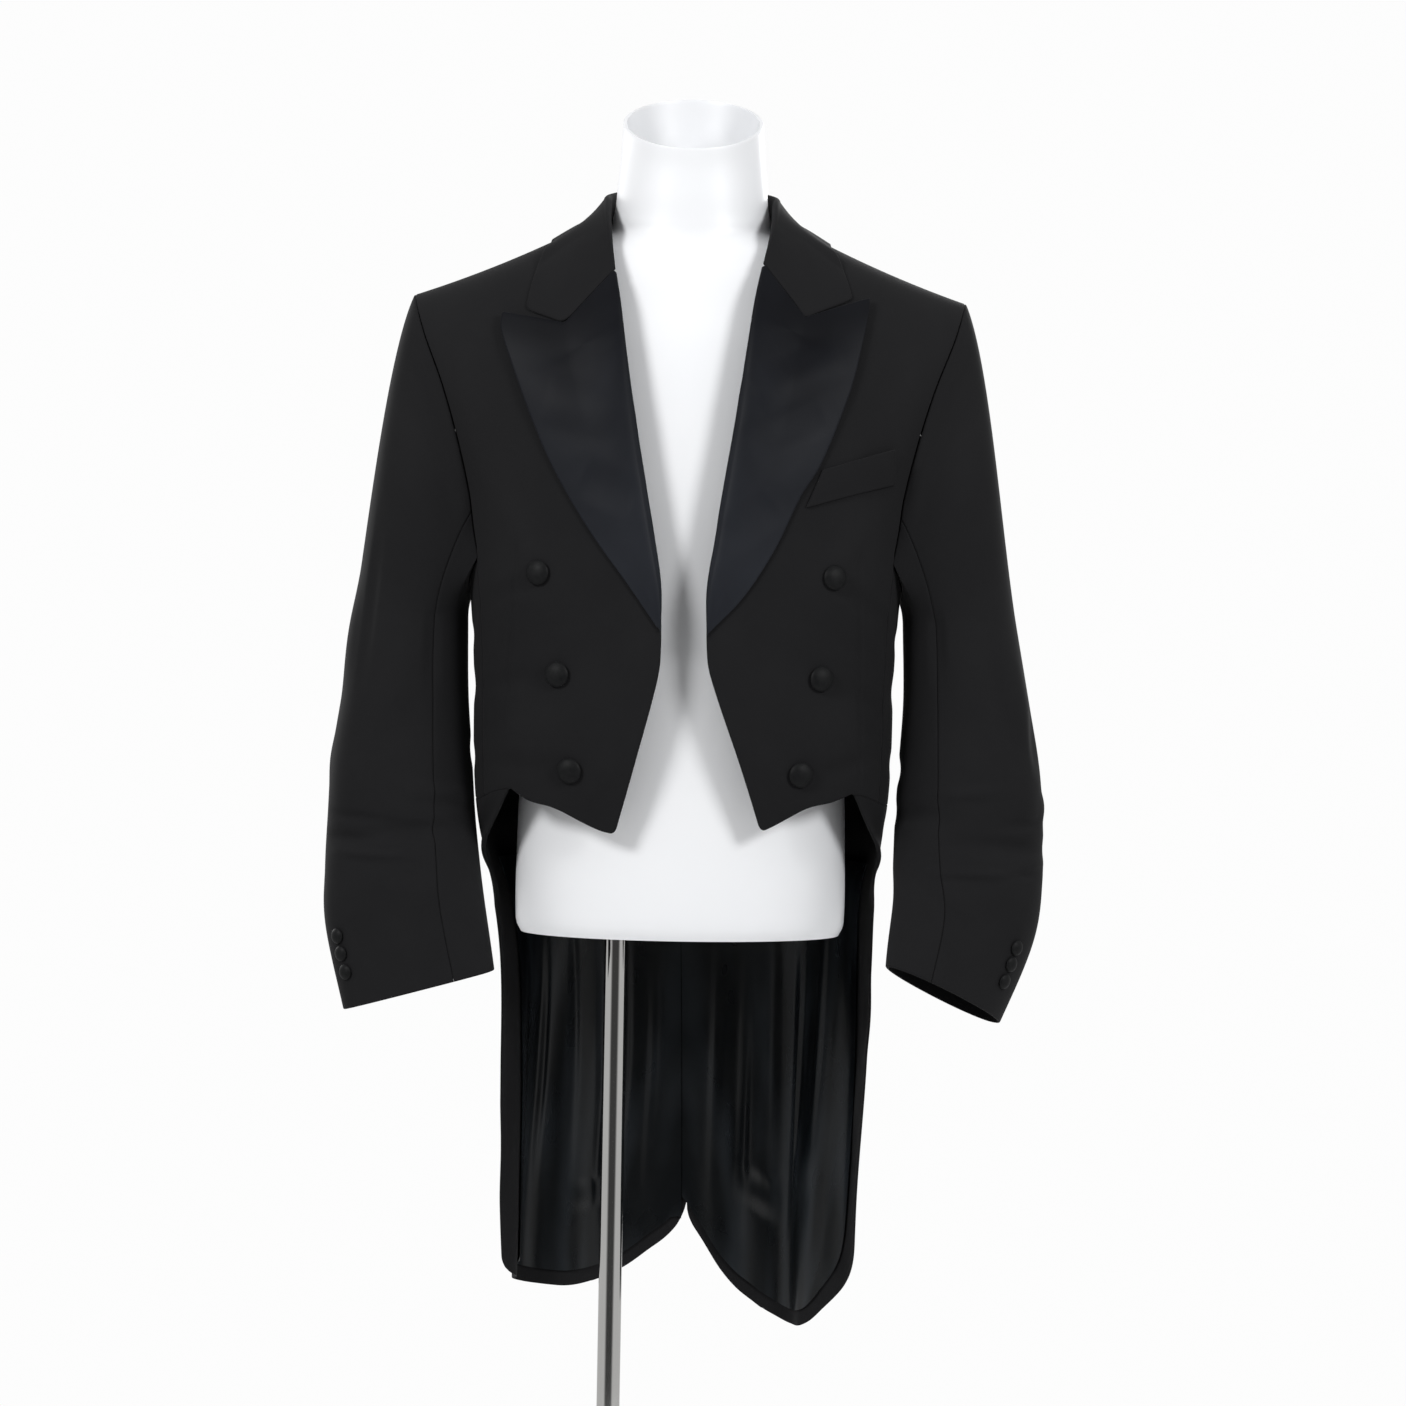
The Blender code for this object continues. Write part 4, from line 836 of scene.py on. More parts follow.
def collarProfile(side, share):  # rows of points from the foot of the stand over the fold to the rim
    cut = collarCut
    fold, edge, gorgeShift = collarLines(side)
    top, rim = fold(share), edge(share)
    across = unit(top * np.array([1, 1, 0]))
    grown = smooth(share / 0.3)
    half = (cut["foldLeast"] + (cut["foldHalf"] - cut["foldLeast"]) * grown)[:, None]
    up = np.array([0.0, 0.0, 1.0])
    middle = top - up * half
    innerTop, start = middle - across * half, middle + across * half
    foot = innerTop.copy()
    foot[:, 2] = np.minimum(innerTop[:, 2] - cut["standLeast"], cut["footHeight"])
    rows = [foot, foot * 0.6 + innerTop * 0.4, foot * 0.2 + innerTop * 0.8, innerTop]
    for turn in np.radians([36, 72, 108, 144]):
        rows.append(middle - across * half * math.cos(turn) + up * half * math.sin(turn))
    rows.append(start)
    settle = (1 - smooth(share / 0.24))[:, None]
    for t in cut["fallSteps"]:
        lift = cut["lift"] + (cut["extraLift"] * (1 - t) + cut["belly"] * math.sin(math.pi * t)) * grown
        rows.append(clearOfBody(start * (1 - t) + rim * t + gorgeShift(t) * settle, lift))
    return np.stack(rows)


def collar():
    cut = collarCut
    reference = collarProfile("left", np.array([0.6]))[:, 0]
    keys = along(reference) / along(reference)[-1]
    count = len(keys)
    low, high = np.maximum(np.arange(count) - 1, 0), np.minimum(np.arange(count) + 1, count - 1)

    def point(u, v):
        u, v = np.broadcast_arrays(np.asarray(u, float), np.asarray(v, float))
        u, v = roundCorners(u, v, 0.40, 0.07, {(0, 1): 0.005, (1, 1): 0.005})
        columns, inverse = np.unique(np.round(u.ravel(), 7), return_inverse=True)
        share = 1 - np.abs(2 * columns - 1)
        profile = np.where(
            (columns < 0.5)[None, :, None], collarProfile("left", share), collarProfile("right", share)
        )
        slope = (profile[high] - profile[low]) / (keys[high] - keys[low])[:, None, None]
        flat = np.clip(v.ravel(), 0, 1)
        i = np.clip(np.searchsorted(keys, flat, side="left") - 1, 0, count - 2)
        span = (keys[i + 1] - keys[i])[:, None]
        t = (flat[:, None] - keys[i][:, None]) / span
        made = (
            (2 * t**3 - 3 * t**2 + 1) * profile[i, inverse]
            + (t**3 - 2 * t**2 + t) * span * slope[i, inverse]
            + (3 * t**2 - 2 * t**3) * profile[i + 1, inverse]
            + (t**3 - t**2) * span * slope[i + 1, inverse]
        )
        return made.reshape(u.shape + (3,))

    def facing(place):
        return np.array([place[0], place[1], 0.2])

    return sewSheet("collarFall", point, cut["columns"], cut["rows"], cut["wall"], facing)


weltCut = {
    "columns": 60,
    "rows": 28,
    "wall": 0.0016,
    "lift": 0.0022,
    "inner": (0.0985, 1.2120, 0.1120, 1.2440),  # lower and upper end nearest the lapel
    "outer": (0.1745, 1.2360, 0.1735, 1.2650),
    "stitchIn": 0.0016,
}


def breastWelt():
    inner, outer = np.array(weltCut["inner"]), np.array(weltCut["outer"])

    def point(u, v):
        lowX, low, highX, high = [inner[k] + (outer[k] - inner[k]) * u for k in range(4)]
        return frontLifted("left", lowX + (highX - lowX) * v, low + (high - low) * v, weltCut["lift"])

    def relief(u, v, places):  # stitched down at both ends
        ends = np.minimum(u, 1 - u) * 0.078
        return -0.0005 * bump(ends - weltCut["stitchIn"], 0.0012) + 0.0004 * np.sin(np.pi * v)

    columns, rows = weltCut["columns"], weltCut["rows"]
    return sewSheet("breastWelt", point, columns, rows, weltCut["wall"], upAndOut, edge=0.0009, relief=relief)


sleeveCut = {
    "columns": {"topSleeve": 94, "underSleeve": 76},
    "rows": 176,
    "capShare": 0.40,
    "squareness": 2.15,
    "headGap": 0.0002,
    "headExtraGap": 0.0006,
    "frontSeam": math.radians(122),
    "hindSeamTop": math.radians(-78),
    "hindSeamCuff": math.radians(4),
    # rings below the armhole: middle, half width and depth, droop of the outer side and turn to the front
    "left": [
        (0.2385, -0.004, 1.120, 0.0490, 0.064, 2, 0),
        (0.2450, -0.007, 1.055, 0.0542, 0.061, 2, 0),
        (0.2480, -0.011, 1.000, 0.0605, 0.057, 2, 2),
        (0.2480, -0.018, 0.950, 0.0638, 0.052, 3, 5),
        (0.2465, -0.030, 0.910, 0.0650, 0.047, 6, 10),
        (0.2420, -0.046, 0.868, 0.0650, 0.041, 14, 20),
        (0.2230, -0.072, 0.808, 0.0635, 0.027, 25, 34),
    ],
    "right": [
        (0.2375, -0.004, 1.120, 0.0490, 0.064, 2, 0),
        (0.2410, -0.007, 1.055, 0.0542, 0.061, 2, 0),
        (0.2425, -0.011, 1.000, 0.0602, 0.057, 2, 1),
        (0.2412, -0.018, 0.950, 0.0632, 0.052, 2, 2),
        (0.2385, -0.030, 0.910, 0.0662, 0.046, 5, 4),
        (0.2338, -0.044, 0.868, 0.0690, 0.040, 9, 6),
        (0.2185, -0.064, 0.804, 0.0675, 0.025, 16, 9),
    ],
    # large creases that the solids have too: round the arm, down it, half widths, depth outwards
    "mainFolds": {
        "left": [
            (60, 0.74, 70, 0.030, -0.0038), (150, 0.69, 60, 0.030, -0.0040), (40, 0.50, 25, 0.080, 0.0030),
        ],
        "right": [(110, 0.73, 70, 0.030, -0.0040), (20, 0.42, 25, 0.090, 0.0030)],
    },
    "folds": {
        "left": [
            (70, 0.47, 14, 0.110, -0.0034), (25, 0.56, 16, 0.070, -0.0022), (5, 0.66, 26, 0.030, 0.0019),
            (95, 0.80, 50, 0.016, 0.0031), (48, 0.79, 40, 0.014, -0.0025), (46, 0.69, 36, 0.016, -0.0028),
            (100, 0.645, 34, 0.016, 0.0025), (-60, 0.60, 40, 0.040, -0.0031), (-100, 0.72, 50, 0.026, 0.0034),
            (-120, 0.50, 30, 0.070, -0.0034), (120, 0.42, 12, 0.080, -0.0023), (200, 0.62, 40, 0.030, -0.0028),
            (-40, 0.83, 40, 0.018, -0.0025),
        ],
        "right": [
            (55, 0.38, 12, 0.150, -0.0025), (85, 0.52, 20, 0.070, 0.0025), (130, 0.66, 40, 0.022, 0.0034),
            (60, 0.70, 44, 0.014, -0.0028), (70, 0.775, 42, 0.014, 0.0031), (52, 0.74, 36, 0.018, -0.0028),
            (0, 0.60, 22, 0.050, 0.0014), (-70, 0.58, 40, 0.040, -0.0031), (-110, 0.70, 50, 0.028, 0.0034),
            (-110, 0.48, 30, 0.080, -0.0031), (120, 0.44, 12, 0.080, -0.0020), (205, 0.60, 40, 0.030, -0.0025),
            (-30, 0.82, 40, 0.018, -0.0022),
        ],
    },
    "puckers": {"depth": 0.00015, "count": 62},
}


def ringFrame(side, place):
    rows = np.array(sleeveCut[side], float)
    keys = np.arange(len(rows))
    x, y, height, halfWidth, halfDepth, droop, turn = [through(keys, rows[:, k], place) for k in range(7)]
    droop, turn = np.radians(droop), np.radians(turn)
    level, zero = np.cos(droop), np.zeros_like(droop)
    outward = np.stack([np.cos(turn) * level, np.sin(turn) * level, -np.sin(droop)], -1)
    backward = np.stack([-np.sin(turn), np.cos(turn), zero], -1)
    return np.stack([x, y, height], -1), outward * halfWidth[..., None], backward * halfDepth[..., None]


def ringPoint(side, place, turn):
    middle, outward, backward = ringFrame(side, place)
    power = 2 / sleeveCut["squareness"]
    across = signedPower(np.cos(turn), power)[..., None]
    deep = signedPower(np.sin(turn), power)[..., None]
    return middle + outward * across - backward * deep


# Outer surface of a sleeve: turn 0 is its outer side, a quarter turn its front; down runs from armhole to cuff
def sleevePoint(side, turn, down):
    turn, down = np.broadcast_arrays(np.asarray(turn, float), np.asarray(down, float))
    cut, cap, last = sleeveCut, sleeveCut["capShare"], len(sleeveCut[side]) - 1
    lower = ringPoint(side, np.clip((down - cap) / (1 - cap) * last, 0, last), turn)
    seam = bodyPoint("left", *armholePlace(turn))
    end = ringPoint(side, np.zeros_like(turn), turn)
    t = (np.clip(down, 0, cap) / cap)[..., None]
    length = np.linalg.norm(end - seam, axis=-1, keepdims=True)
    topShare = ((1 + np.cos(turn)) / 2)[..., None]
    sine = np.sin(turn)[..., None]
    seam = seam + np.array([1, 0, 0]) * (cut["headGap"] + cut["headExtraGap"] * topShare**4)
    leave = np.array([0.36, 0, -0.93]) * topShare + np.array([0.20, 0, -1.0]) * (1 - topShare)
    sideways = np.concatenate([0.45 + 0 * sine, -0.12 * sine, 0.25 + 0 * sine], -1)
    leave = unit(leave + sideways * np.abs(sine)) * length * 0.45
    arrive = unit(ringPoint(side, np.full_like(turn, 0.15), turn) - end) * length * 0.8
    upper = (
        seam * (2 * t**3 - 3 * t**2 + 1)
        + leave * (t**3 - 2 * t**2 + t)
        + end * (3 * t**2 - 2 * t**3)
        + arrive * (t**3 - t**2)
    )
    made = np.where((down >= cap)[..., None], lower, upper)
    middle = ringFrame(side, np.clip((down - cap) / (1 - cap) * last, 0, last))[0]
    outside = unit((made - middle) * np.array([1, 1, 0]))
    degrees = np.degrees(turn)
    for around, at, halfAround, halfDown, depth in cut["mainFolds"][side]:
        apart = (degrees - around + 180) % 360 - 180
        made = made + outside * (depth * bump(apart, halfAround) * bump(down - at, halfDown))[..., None]
    return made * np.array([sideSign[side], 1, 1])


def hindSeam(down):
    swing = smooth((down - 0.15) / 0.85)
    return sleeveCut["hindSeamTop"] + (sleeveCut["hindSeamCuff"] - sleeveCut["hindSeamTop"]) * swing


def sleeve(side, panel):
    cut, gap = sleeveCut, math.radians(0.05)

    def turnAt(u, v):
        start, end = hindSeam(v) + gap, cut["frontSeam"] - gap
        if panel == "underSleeve":
            start, end = cut["frontSeam"] + gap, 2 * math.pi + hindSeam(v) - gap
        return start + (end - start) * u

    def point(u, v):
        return sleevePoint(side, turnAt(u, v), v)

    def relief(u, v, places):
        degrees = np.degrees(turnAt(u, v))
        raised = cut["puckers"]["depth"] * np.sin(np.radians(degrees) * cut["puckers"]["count"]) * bump(v, 0.030)
        for around, at, halfAround, halfDown, depth in cut["folds"][side]:
            apart = (degrees - around + 180) % 360 - 180
            slant = at + apart / 360 * 0.10
            raised = raised + depth * bump(apart, halfAround) * bump(v - slant, halfDown)
        return raised

    def facing(place):
        heights = np.array([row[2] for row in cut[side]])
        middle = ringFrame(side, np.array(float(np.argmin(np.abs(heights - place[2])))))[0]
        return np.array([place[0] - sideSign[side] * middle[0], place[1] - middle[1], 0.0])

    columns = cut["columns"][panel]
    return sewSheet(f"{panel}_{side}", point, columns, cut["rows"], coat["wall"], facing, relief=relief)


buttons = {
    "front": {"radius": 0.0105, "height": 0.0056, "lift": 0.0008},
    "cuff": {"radius": 0.0066, "height": 0.0040, "lift": 0.0001},
    "frontPlaces": {
        "left": [(0.1235, 1.1555), (0.1140, 1.0715), (0.0985, 0.9920)],
        "right": [(0.1210, 1.1555), (0.1035, 1.0715), (0.0922, 0.9920)],
    },
    "cuffDown": (0.918, 0.939, 0.960),
    "cuffTurn": {"left": math.radians(58), "right": math.radians(40)},
    "gathers": 22,
}


# Covered button: a domed cap spun from its profile, drawn in under its rim to a flat shank
def coveredButton(name, size, place, normal):
    radius, height = size["radius"], size["height"]
    profile = [
        (0.0, 1.0), (0.16, 0.985), (0.34, 0.945), (0.52, 0.87), (0.68, 0.76), (0.82, 0.62), (0.92, 0.49),
        (0.98, 0.37), (1.0, 0.28), (0.985, 0.20), (0.93, 0.14), (0.82, 0.11), (0.62, 0.10), (0.42, 0.09),
        (0.36, 0.05), (0.36, 0.0), (0.0, 0.0),
    ]
    shape = bmesh.new()
    verts = [shape.verts.new((x * radius, 0, z * height)) for x, z in profile]
    edges = [shape.edges.new(pair) for pair in zip(verts, verts[1:])]
    bmesh.ops.spin(
        shape, geom=verts + edges, cent=(0, 0, 0), axis=(0, 0, 1), angle=2 * math.pi, steps=64, use_merge=True
    )
    bmesh.ops.remove_doubles(shape, verts=shape.verts, dist=0.00002)
    bmesh.ops.recalc_face_normals(shape, faces=shape.faces)
    for vertex in shape.verts:  # cloth gathered under the rim
        reach = math.hypot(vertex.co.x, vertex.co.y) / radius
        under = bump(vertex.co.z / height - 0.16, 0.14) * bump(reach - 0.95, 0.4)
        wave = math.sin(buttons["gathers"] * math.atan2(vertex.co.y, vertex.co.x))
        vertex.co.xy *= 1 - 0.012 * float(under) * (1 + wave)
    turn = Vector(normal).to_track_quat("Z", "Y").to_matrix().to_4x4()
    shape.transform(Matrix.Translation(Vector(place) + Vector(normal) * size["lift"]) @ turn)
    return finishMesh(name, shape, sharp=60)


def frontButtons(side):
    made = []
    for i, (x, height) in enumerate(buttons["frontPlaces"][side], start=1):
        angle = angleAt(x, height)
        place, normal = bodyPoint(side, angle, height), bodyNormal(side, angle, height)
        made.append(coveredButton(f"frontButton_{side}_{i}", buttons["front"], place, normal))
    return made


def cuffButtons(side):
    made, turn, step = [], buttons["cuffTurn"][side], 0.01
    for i, down in enumerate(buttons["cuffDown"], start=1):
        place = sleevePoint(side, turn, down)
        downward = sleevePoint(side, turn, down + step) - sleevePoint(side, turn, down - step)
        around = sleevePoint(side, turn + 0.1, down) - sleevePoint(side, turn - 0.1, down)
        normal = unit(np.cross(around, downward))
        normal = -normal if normal[1] > 0 else normal
        made.append(coveredButton(f"cuffButton_{side}_{i}", buttons["cuff"], place, normal))
    return made


form = {
    "columns": 120,
    "rows": 116,
    "bottomRows": 14,
    "wall": 0.0030,
    "rimEdge": 0.0012,
    "height": [
        0.850, 0.860, 0.930, 1.010, 1.100, 1.200, 1.290, 1.350,
        1.385, 1.410, 1.432, 1.454, 1.472, 1.500, 1.530, 1.552,
    ],
    "halfWidth": [
        0.1380, 0.1425, 0.1425, 0.1410, 0.1480, 0.1620, 0.1740, 0.1780,
        0.1760, 0.1690, 0.1455, 0.0780, 0.0680, 0.0645, 0.0618, 0.0605,
    ],
    "front": [
        0.0800, 0.0840, 0.0860, 0.0880, 0.0940, 0.0960, 0.0900, 0.0820,
        0.0740, 0.0690, 0.0640, 0.0610, 0.0595, 0.0590, 0.0590, 0.0600,
    ],
    "back": [
        0.0900, 0.0950, 0.0980, 0.0980, 0.1020, 0.1080, 0.1080, 0.0960,
        0.0840, 0.0740, 0.0660, 0.0600, 0.0575, 0.0560, 0.0560, 0.0560,
    ],
    "middle": [
        0.0, 0.0, 0.0, 0.0, 0.0, 0.0, 0.0, 0.0, 0.0, 0.0, 0.0, 0.0, -0.002, -0.005, -0.008, -0.011,
    ],
    "fall": [
        0.0, 0.0, 0.0, 0.0, 0.0, 0.0, 0.0, 0.0, 0.0, 0.0, 0.06, 0.17, 0.26, 0.40, 0.52, 0.60,
    ],
}


def displayForm():  # one wall from the middle of its flat bottom up to the open neck
    columns, rows, bottom = form["columns"], form["rows"], form["bottomRows"]
    heights = np.array(form["height"])

    def point(u, index):
        scale = min(index / bottom, 1.0)
        climb = max(index - bottom, 0) / (rows - bottom)
        height = float(through(np.linspace(0, 1, len(heights)), heights, climb))
        halfWidth, front, back, middle, fall = [
            float(through(heights, form[key], height)) for key in ("halfWidth", "front", "back", "middle", "fall")
        ]
        angle = 2 * math.pi * u
        x, y = halfWidth * math.sin(angle), -math.cos(angle)
        y *= front if y < 0 else back
        return Vector((x * scale, middle + y * scale, height + fall * y))

    shape = bmesh.new()
    bmesh.ops.create_grid(shape, x_segments=columns, y_segments=rows, size=0.5)
    for vertex in shape.verts:
        vertex.co = point(vertex.co.x + 0.5, (vertex.co.y + 0.5) * rows)
    bmesh.ops.remove_doubles(shape, verts=shape.verts, dist=0.00002)
    bmesh.ops.recalc_face_normals(shape, faces=shape.faces)
    if shape.calc_volume(signed=True) < 0:
        bmesh.ops.reverse_faces(shape, faces=shape.faces)
    made = finishMesh("displayForm", shape, sharp=40)
    solid = made.modifiers.new("wall", "SOLIDIFY")
    solid.thickness, solid.offset = form["wall"], -1
    rim = made.modifiers.new("rim", "BEVEL")
    rim.width, rim.segments, rim.limit_method, rim.angle_limit = form["rimEdge"], 3, "ANGLE", math.radians(50)
    return made


stand = {"poleX": -0.055, "poleRadius": 0.010, "poleFoot": 0.0086, "poleTop": 0.8494, "baseRadius": 0.180}


def turnedPart(name, profile, steps, x):  # spun about an upright line at x
    shape = bmesh.new()
    verts = [shape.verts.new((radius, 0, height)) for radius, height in profile]
    edges = [shape.edges.new(pair) for pair in zip(verts, verts[1:])]
    bmesh.ops.spin(
        shape, geom=verts + edges, cent=(0, 0, 0), axis=(0, 0, 1), angle=2 * math.pi, steps=steps, use_merge=True
    )
    bmesh.ops.remove_doubles(shape, verts=shape.verts, dist=0.00002)
    bmesh.ops.recalc_face_normals(shape, faces=shape.faces)
    if shape.calc_volume(signed=True) < 0:
        bmesh.ops.reverse_faces(shape, faces=shape.faces)
    bmesh.ops.translate(shape, verts=shape.verts, vec=(x, 0, 0))
    return finishMesh(name, shape, sharp=40)


def pole():
    radius, low, high = stand["poleRadius"], stand["poleFoot"], stand["poleTop"]
    profile = [(0, low), (radius - 0.0006, low), (radius, low + 0.0006)]
    profile += [(radius, low + (high - low) * k / 24) for k in range(1, 24)]
    profile += [(radius, high - 0.0006), (radius - 0.0006, high), (0, high)]
    return turnedPart("standPole", profile, 64, stand["poleX"])


def basePlate():
    radius = stand["baseRadius"]
    edge = [(radius - 0.0020 * (1 - math.sin(a)), 0.0060 + 0.0020 * math.cos(a)) for a in np.radians([0, 22, 45, 68, 90])]
    profile = [(0, 0), (radius - 0.0010, 0), (radius, 0.0010)] + edge[::-1]
    profile += [(radius * k / 12, 0.0080) for k in range(11, -1, -1)]
    return turnedPart("standBase", profile, 128, stand["poleX"])


def startMaterial(name, color, roughness, metallic=0.0):
    made = bpy.data.materials.new(name)
    made.use_nodes = True
    shader = made.node_tree.nodes["Principled BSDF"]
    shader.inputs["Base Color"].default_value = (*color, 1)
    shader.inputs["Roughness"].default_value = roughness
    shader.inputs["Metallic"].default_value = metallic
    return made, shader


def addNode(made, kind, values=None, **settings):
    node = made.node_tree.nodes.new("ShaderNode" + kind)
    for key, value in settings.items():
        setattr(node, key, value)
    for key, value in (values or {}).items():
        node.inputs[key].default_value = value
    return node


def join(made, start, end):
    made.node_tree.links.new(start, end)


def mapped(made, source, scale, turn=0.0, uv=True):
    where = addNode(made, "UVMap", uv_map="cloth") if uv else addNode(made, "TexCoord")
    mapping = addNode(made, "Mapping", {"Scale": scale, "Rotation": (0, 0, turn)})
    join(made, where.outputs["UV" if uv else "Object"], mapping.inputs["Vector"])
    join(made, mapping.outputs["Vector"], source.inputs["Vector"])
    return source


def tinted(made, shader, share, low, high, start=0.3, end=0.7):  # colour from low to high with a pattern's value
    ramp = addNode(made, "ValToRGB")
    ramp.color_ramp.elements[0].color = (*low, 1)
    ramp.color_ramp.elements[1].color = (*high, 1)
    ramp.color_ramp.elements[0].position, ramp.color_ramp.elements[1].position = start, end
    join(made, share, ramp.inputs["Fac"])
    join(made, ramp.outputs["Color"], shader.inputs["Base Color"])


def roughened(made, shader, share, low, high):
    spread = addNode(made, "MapRange", {"From Min": 0.3, "From Max": 0.7, "To Min": low, "To Max": high})
    join(made, share, spread.inputs["Value"])
    join(made, spread.outputs["Result"], shader.inputs["Roughness"])


def bumped(made, shader, layers):  # layers: pattern value, strength, height in metres
    previous = None
    for share, strength, distance in layers:
        node = addNode(made, "Bump", {"Strength": strength, "Distance": distance})
        join(made, share, node.inputs["Height"])
        if previous:
            join(made, previous.outputs["Normal"], node.inputs["Normal"])
        previous = node
    join(made, previous.outputs["Normal"], shader.inputs["Normal"])


clothLook = {
    "wool": {"dark": (0.0080, 0.0080, 0.0088), "pale": (0.0108, 0.0108, 0.0117), "roughness": 0.86, "sheen": 0.035},
    # satin: its pale colour is partly painted reflection, reached at the lapels' lower ends
    "satin": {"dark": (0.0030, 0.0031, 0.0043), "pale": (0.0175, 0.0192, 0.0240), "roughness": (0.44, 0.52)},
    "buttonSatin": {"dark": (0.0060, 0.0062, 0.0067), "pale": (0.0090, 0.0093, 0.0098), "roughness": (0.46, 0.56)},
    # lining: its pale colour is painted reflection, drawn as streaks
    "lining": {"dark": (0.0012, 0.0020, 0.0028), "pale": (0.0150, 0.0180, 0.0215), "roughness": (0.24, 0.38)},
    "twillPitch": 0.0008,
}


def woolTwill():
    look = clothLook["wool"]
    made, shader = startMaterial("charcoal twill wool", look["dark"], look["roughness"])
    shader.inputs["Sheen Weight"].default_value = look["sheen"]
    shader.inputs["Sheen Roughness"].default_value = 0.45
    shader.inputs["Specular IOR Level"].default_value = 0.12
    scale = 0.314 / clothLook["twillPitch"]
    twill = addNode(made, "TexWave", {"Scale": scale, "Distortion": 0.6, "Detail": 2.0, "Detail Scale": 2.0})
    mapped(made, twill, (1, 1, 1), math.radians(63))
    nap = mapped(made, addNode(made, "TexNoise", {"Scale": 900.0, "Detail": 3.0}), (1, 1, 1))
    cloud = mapped(made, addNode(made, "TexNoise", {"Scale": 9.0, "Detail": 4.0, "Roughness": 0.55}), (1, 1, 1))
    ease = mapped(made, addNode(made, "TexNoise", {"Scale": 26.0, "Detail": 2.0}), (1, 0.7, 1))
    tinted(made, shader, cloud.outputs["Fac"], look["dark"], look["pale"])
    bumped(made, shader, [
        (ease.outputs["Fac"], 0.35, 0.0012),
        (twill.outputs["Fac"], 0.30, 0.00008),
        (nap.outputs["Fac"], 0.20, 0.00006),
    ])
    return made


def silkSatin(name, key, ease):
    look = clothLook[key]
    made, shader = startMaterial(name, look["dark"], 0.4)
    shader.inputs["Specular IOR Level"].default_value = 0.07
    shader.inputs["Anisotropic"].default_value = 0.35
    shader.inputs["Sheen Weight"].default_value = 0.03
    shader.inputs["Sheen Roughness"].default_value = 0.30
    thread = addNode(made, "TexWave", {"Scale": 0.314 / 0.00045, "Distortion": 0.8, "Detail": 2.0})
    mapped(made, thread, (1, 1, 1), math.radians(90))
    cloud = mapped(made, addNode(made, "TexNoise", {"Scale": 14.0, "Detail": 3.0}), (1, 1, 1))
    soft = mapped(made, addNode(made, "TexNoise", {"Scale": 15.0, "Detail": 2.0}), (1, 0.7, 1))
    where, parts = addNode(made, "UVMap", uv_map="cloth"), addNode(made, "SeparateXYZ")
    join(made, where.outputs["UV"], parts.inputs["Vector"])
    # painted reflection: the lapel's lower end (low cloth v) is painted paler for the lighter reflection it catches
    low = addNode(made, "MapRange", {"From Min": 0.06, "From Max": 0.26, "To Min": 0.46, "To Max": 0.0})
    join(made, parts.outputs["Y"], low.inputs["Value"])
    toneAndPaintedReflection = addNode(made, "Math", {1: 0.4}, operation="MULTIPLY_ADD")  # random tone plus painted reflection: paler slate towards the lapel's lower end
    join(made, cloud.outputs["Fac"], toneAndPaintedReflection.inputs[0])
    join(made, low.outputs["Result"], toneAndPaintedReflection.inputs[2])
    tinted(made, shader, toneAndPaintedReflection.outputs["Value"], look["dark"], look["pale"], 0.1, 0.7)
    roughened(made, shader, soft.outputs["Fac"], *look["roughness"])
    bumped(made, shader, [(soft.outputs["Fac"], 0.12, ease), (thread.outputs["Fac"], 0.15, 0.00004)])
    return made


def buttonSatin():
    look = clothLook["buttonSatin"]
    made, shader = startMaterial("satin of the covered buttons", look["dark"], 0.5)
    shader.inputs["Specular IOR Level"].default_value = 0.10
    cloud = mapped(made, addNode(made, "TexNoise", {"Scale": 260.0, "Detail": 3.0}), (1, 1, 1), uv=False)
    thread = mapped(made, addNode(made, "TexWave", {"Scale": 600.0, "Distortion": 0.7}), (1, 1, 1), uv=False)
    tinted(made, shader, cloud.outputs["Fac"], look["dark"], look["pale"])
    roughened(made, shader, cloud.outputs["Fac"], *look["roughness"])
    bumped(made, shader, [(cloud.outputs["Fac"], 0.25, 0.0002), (thread.outputs["Fac"], 0.15, 0.00004)])
    return made


def glossyLining():
    look = clothLook["lining"]
    made, shader = startMaterial("glossy tail lining", look["dark"], 0.3)
    shader.inputs["Specular IOR Level"].default_value = 0.36
    streakBumpAndPaintedReflection = mapped(made, addNode(made, "TexNoise", {"Scale": 9.0, "Detail": 1.0}), (4.0, 0.7, 1))
    cloud = mapped(made, addNode(made, "TexNoise", {"Scale": 16.0, "Detail": 2.0}), (1.6, 0.7, 1))
    twill = addNode(made, "TexWave", {"Scale": 0.314 / 0.0004, "Distortion": 0.5})
    mapped(made, twill, (1, 1, 1), math.radians(52))
    # painted reflection: pale vertical streaks in the base colour stand in for the lights' reflections on the
    # lining's folds; the same noise also bumps the folds
    tinted(made, shader, streakBumpAndPaintedReflection.outputs["Fac"], look["dark"], look["pale"], 0.44, 0.70)
    roughened(made, shader, cloud.outputs["Fac"], *look["roughness"])
    bumped(made, shader, [
        (streakBumpAndPaintedReflection.outputs["Fac"], 0.30, 0.0040),
        (cloud.outputs["Fac"], 0.20, 0.0014),
        (twill.outputs["Fac"], 0.12, 0.00004),
    ])
    return made


def whitePlastic():
    made, shader = startMaterial("smooth white form plastic", (0.88, 0.89, 0.91), 0.42)
    shader.inputs["Specular IOR Level"].default_value = 0.45
    cloud = mapped(made, addNode(made, "TexNoise", {"Scale": 5.0, "Detail": 3.0}), (1, 1, 1), uv=False)
    grain = mapped(made, addNode(made, "TexNoise", {"Scale": 420.0, "Detail": 2.0}), (1, 1, 1), uv=False)
    tinted(made, shader, cloud.outputs["Fac"], (0.86, 0.872, 0.895), (0.895, 0.903, 0.92))
    roughened(made, shader, cloud.outputs["Fac"], 0.38, 0.48)
    bumped(made, shader, [(grain.outputs["Fac"], 0.15, 0.0001)])
    return made


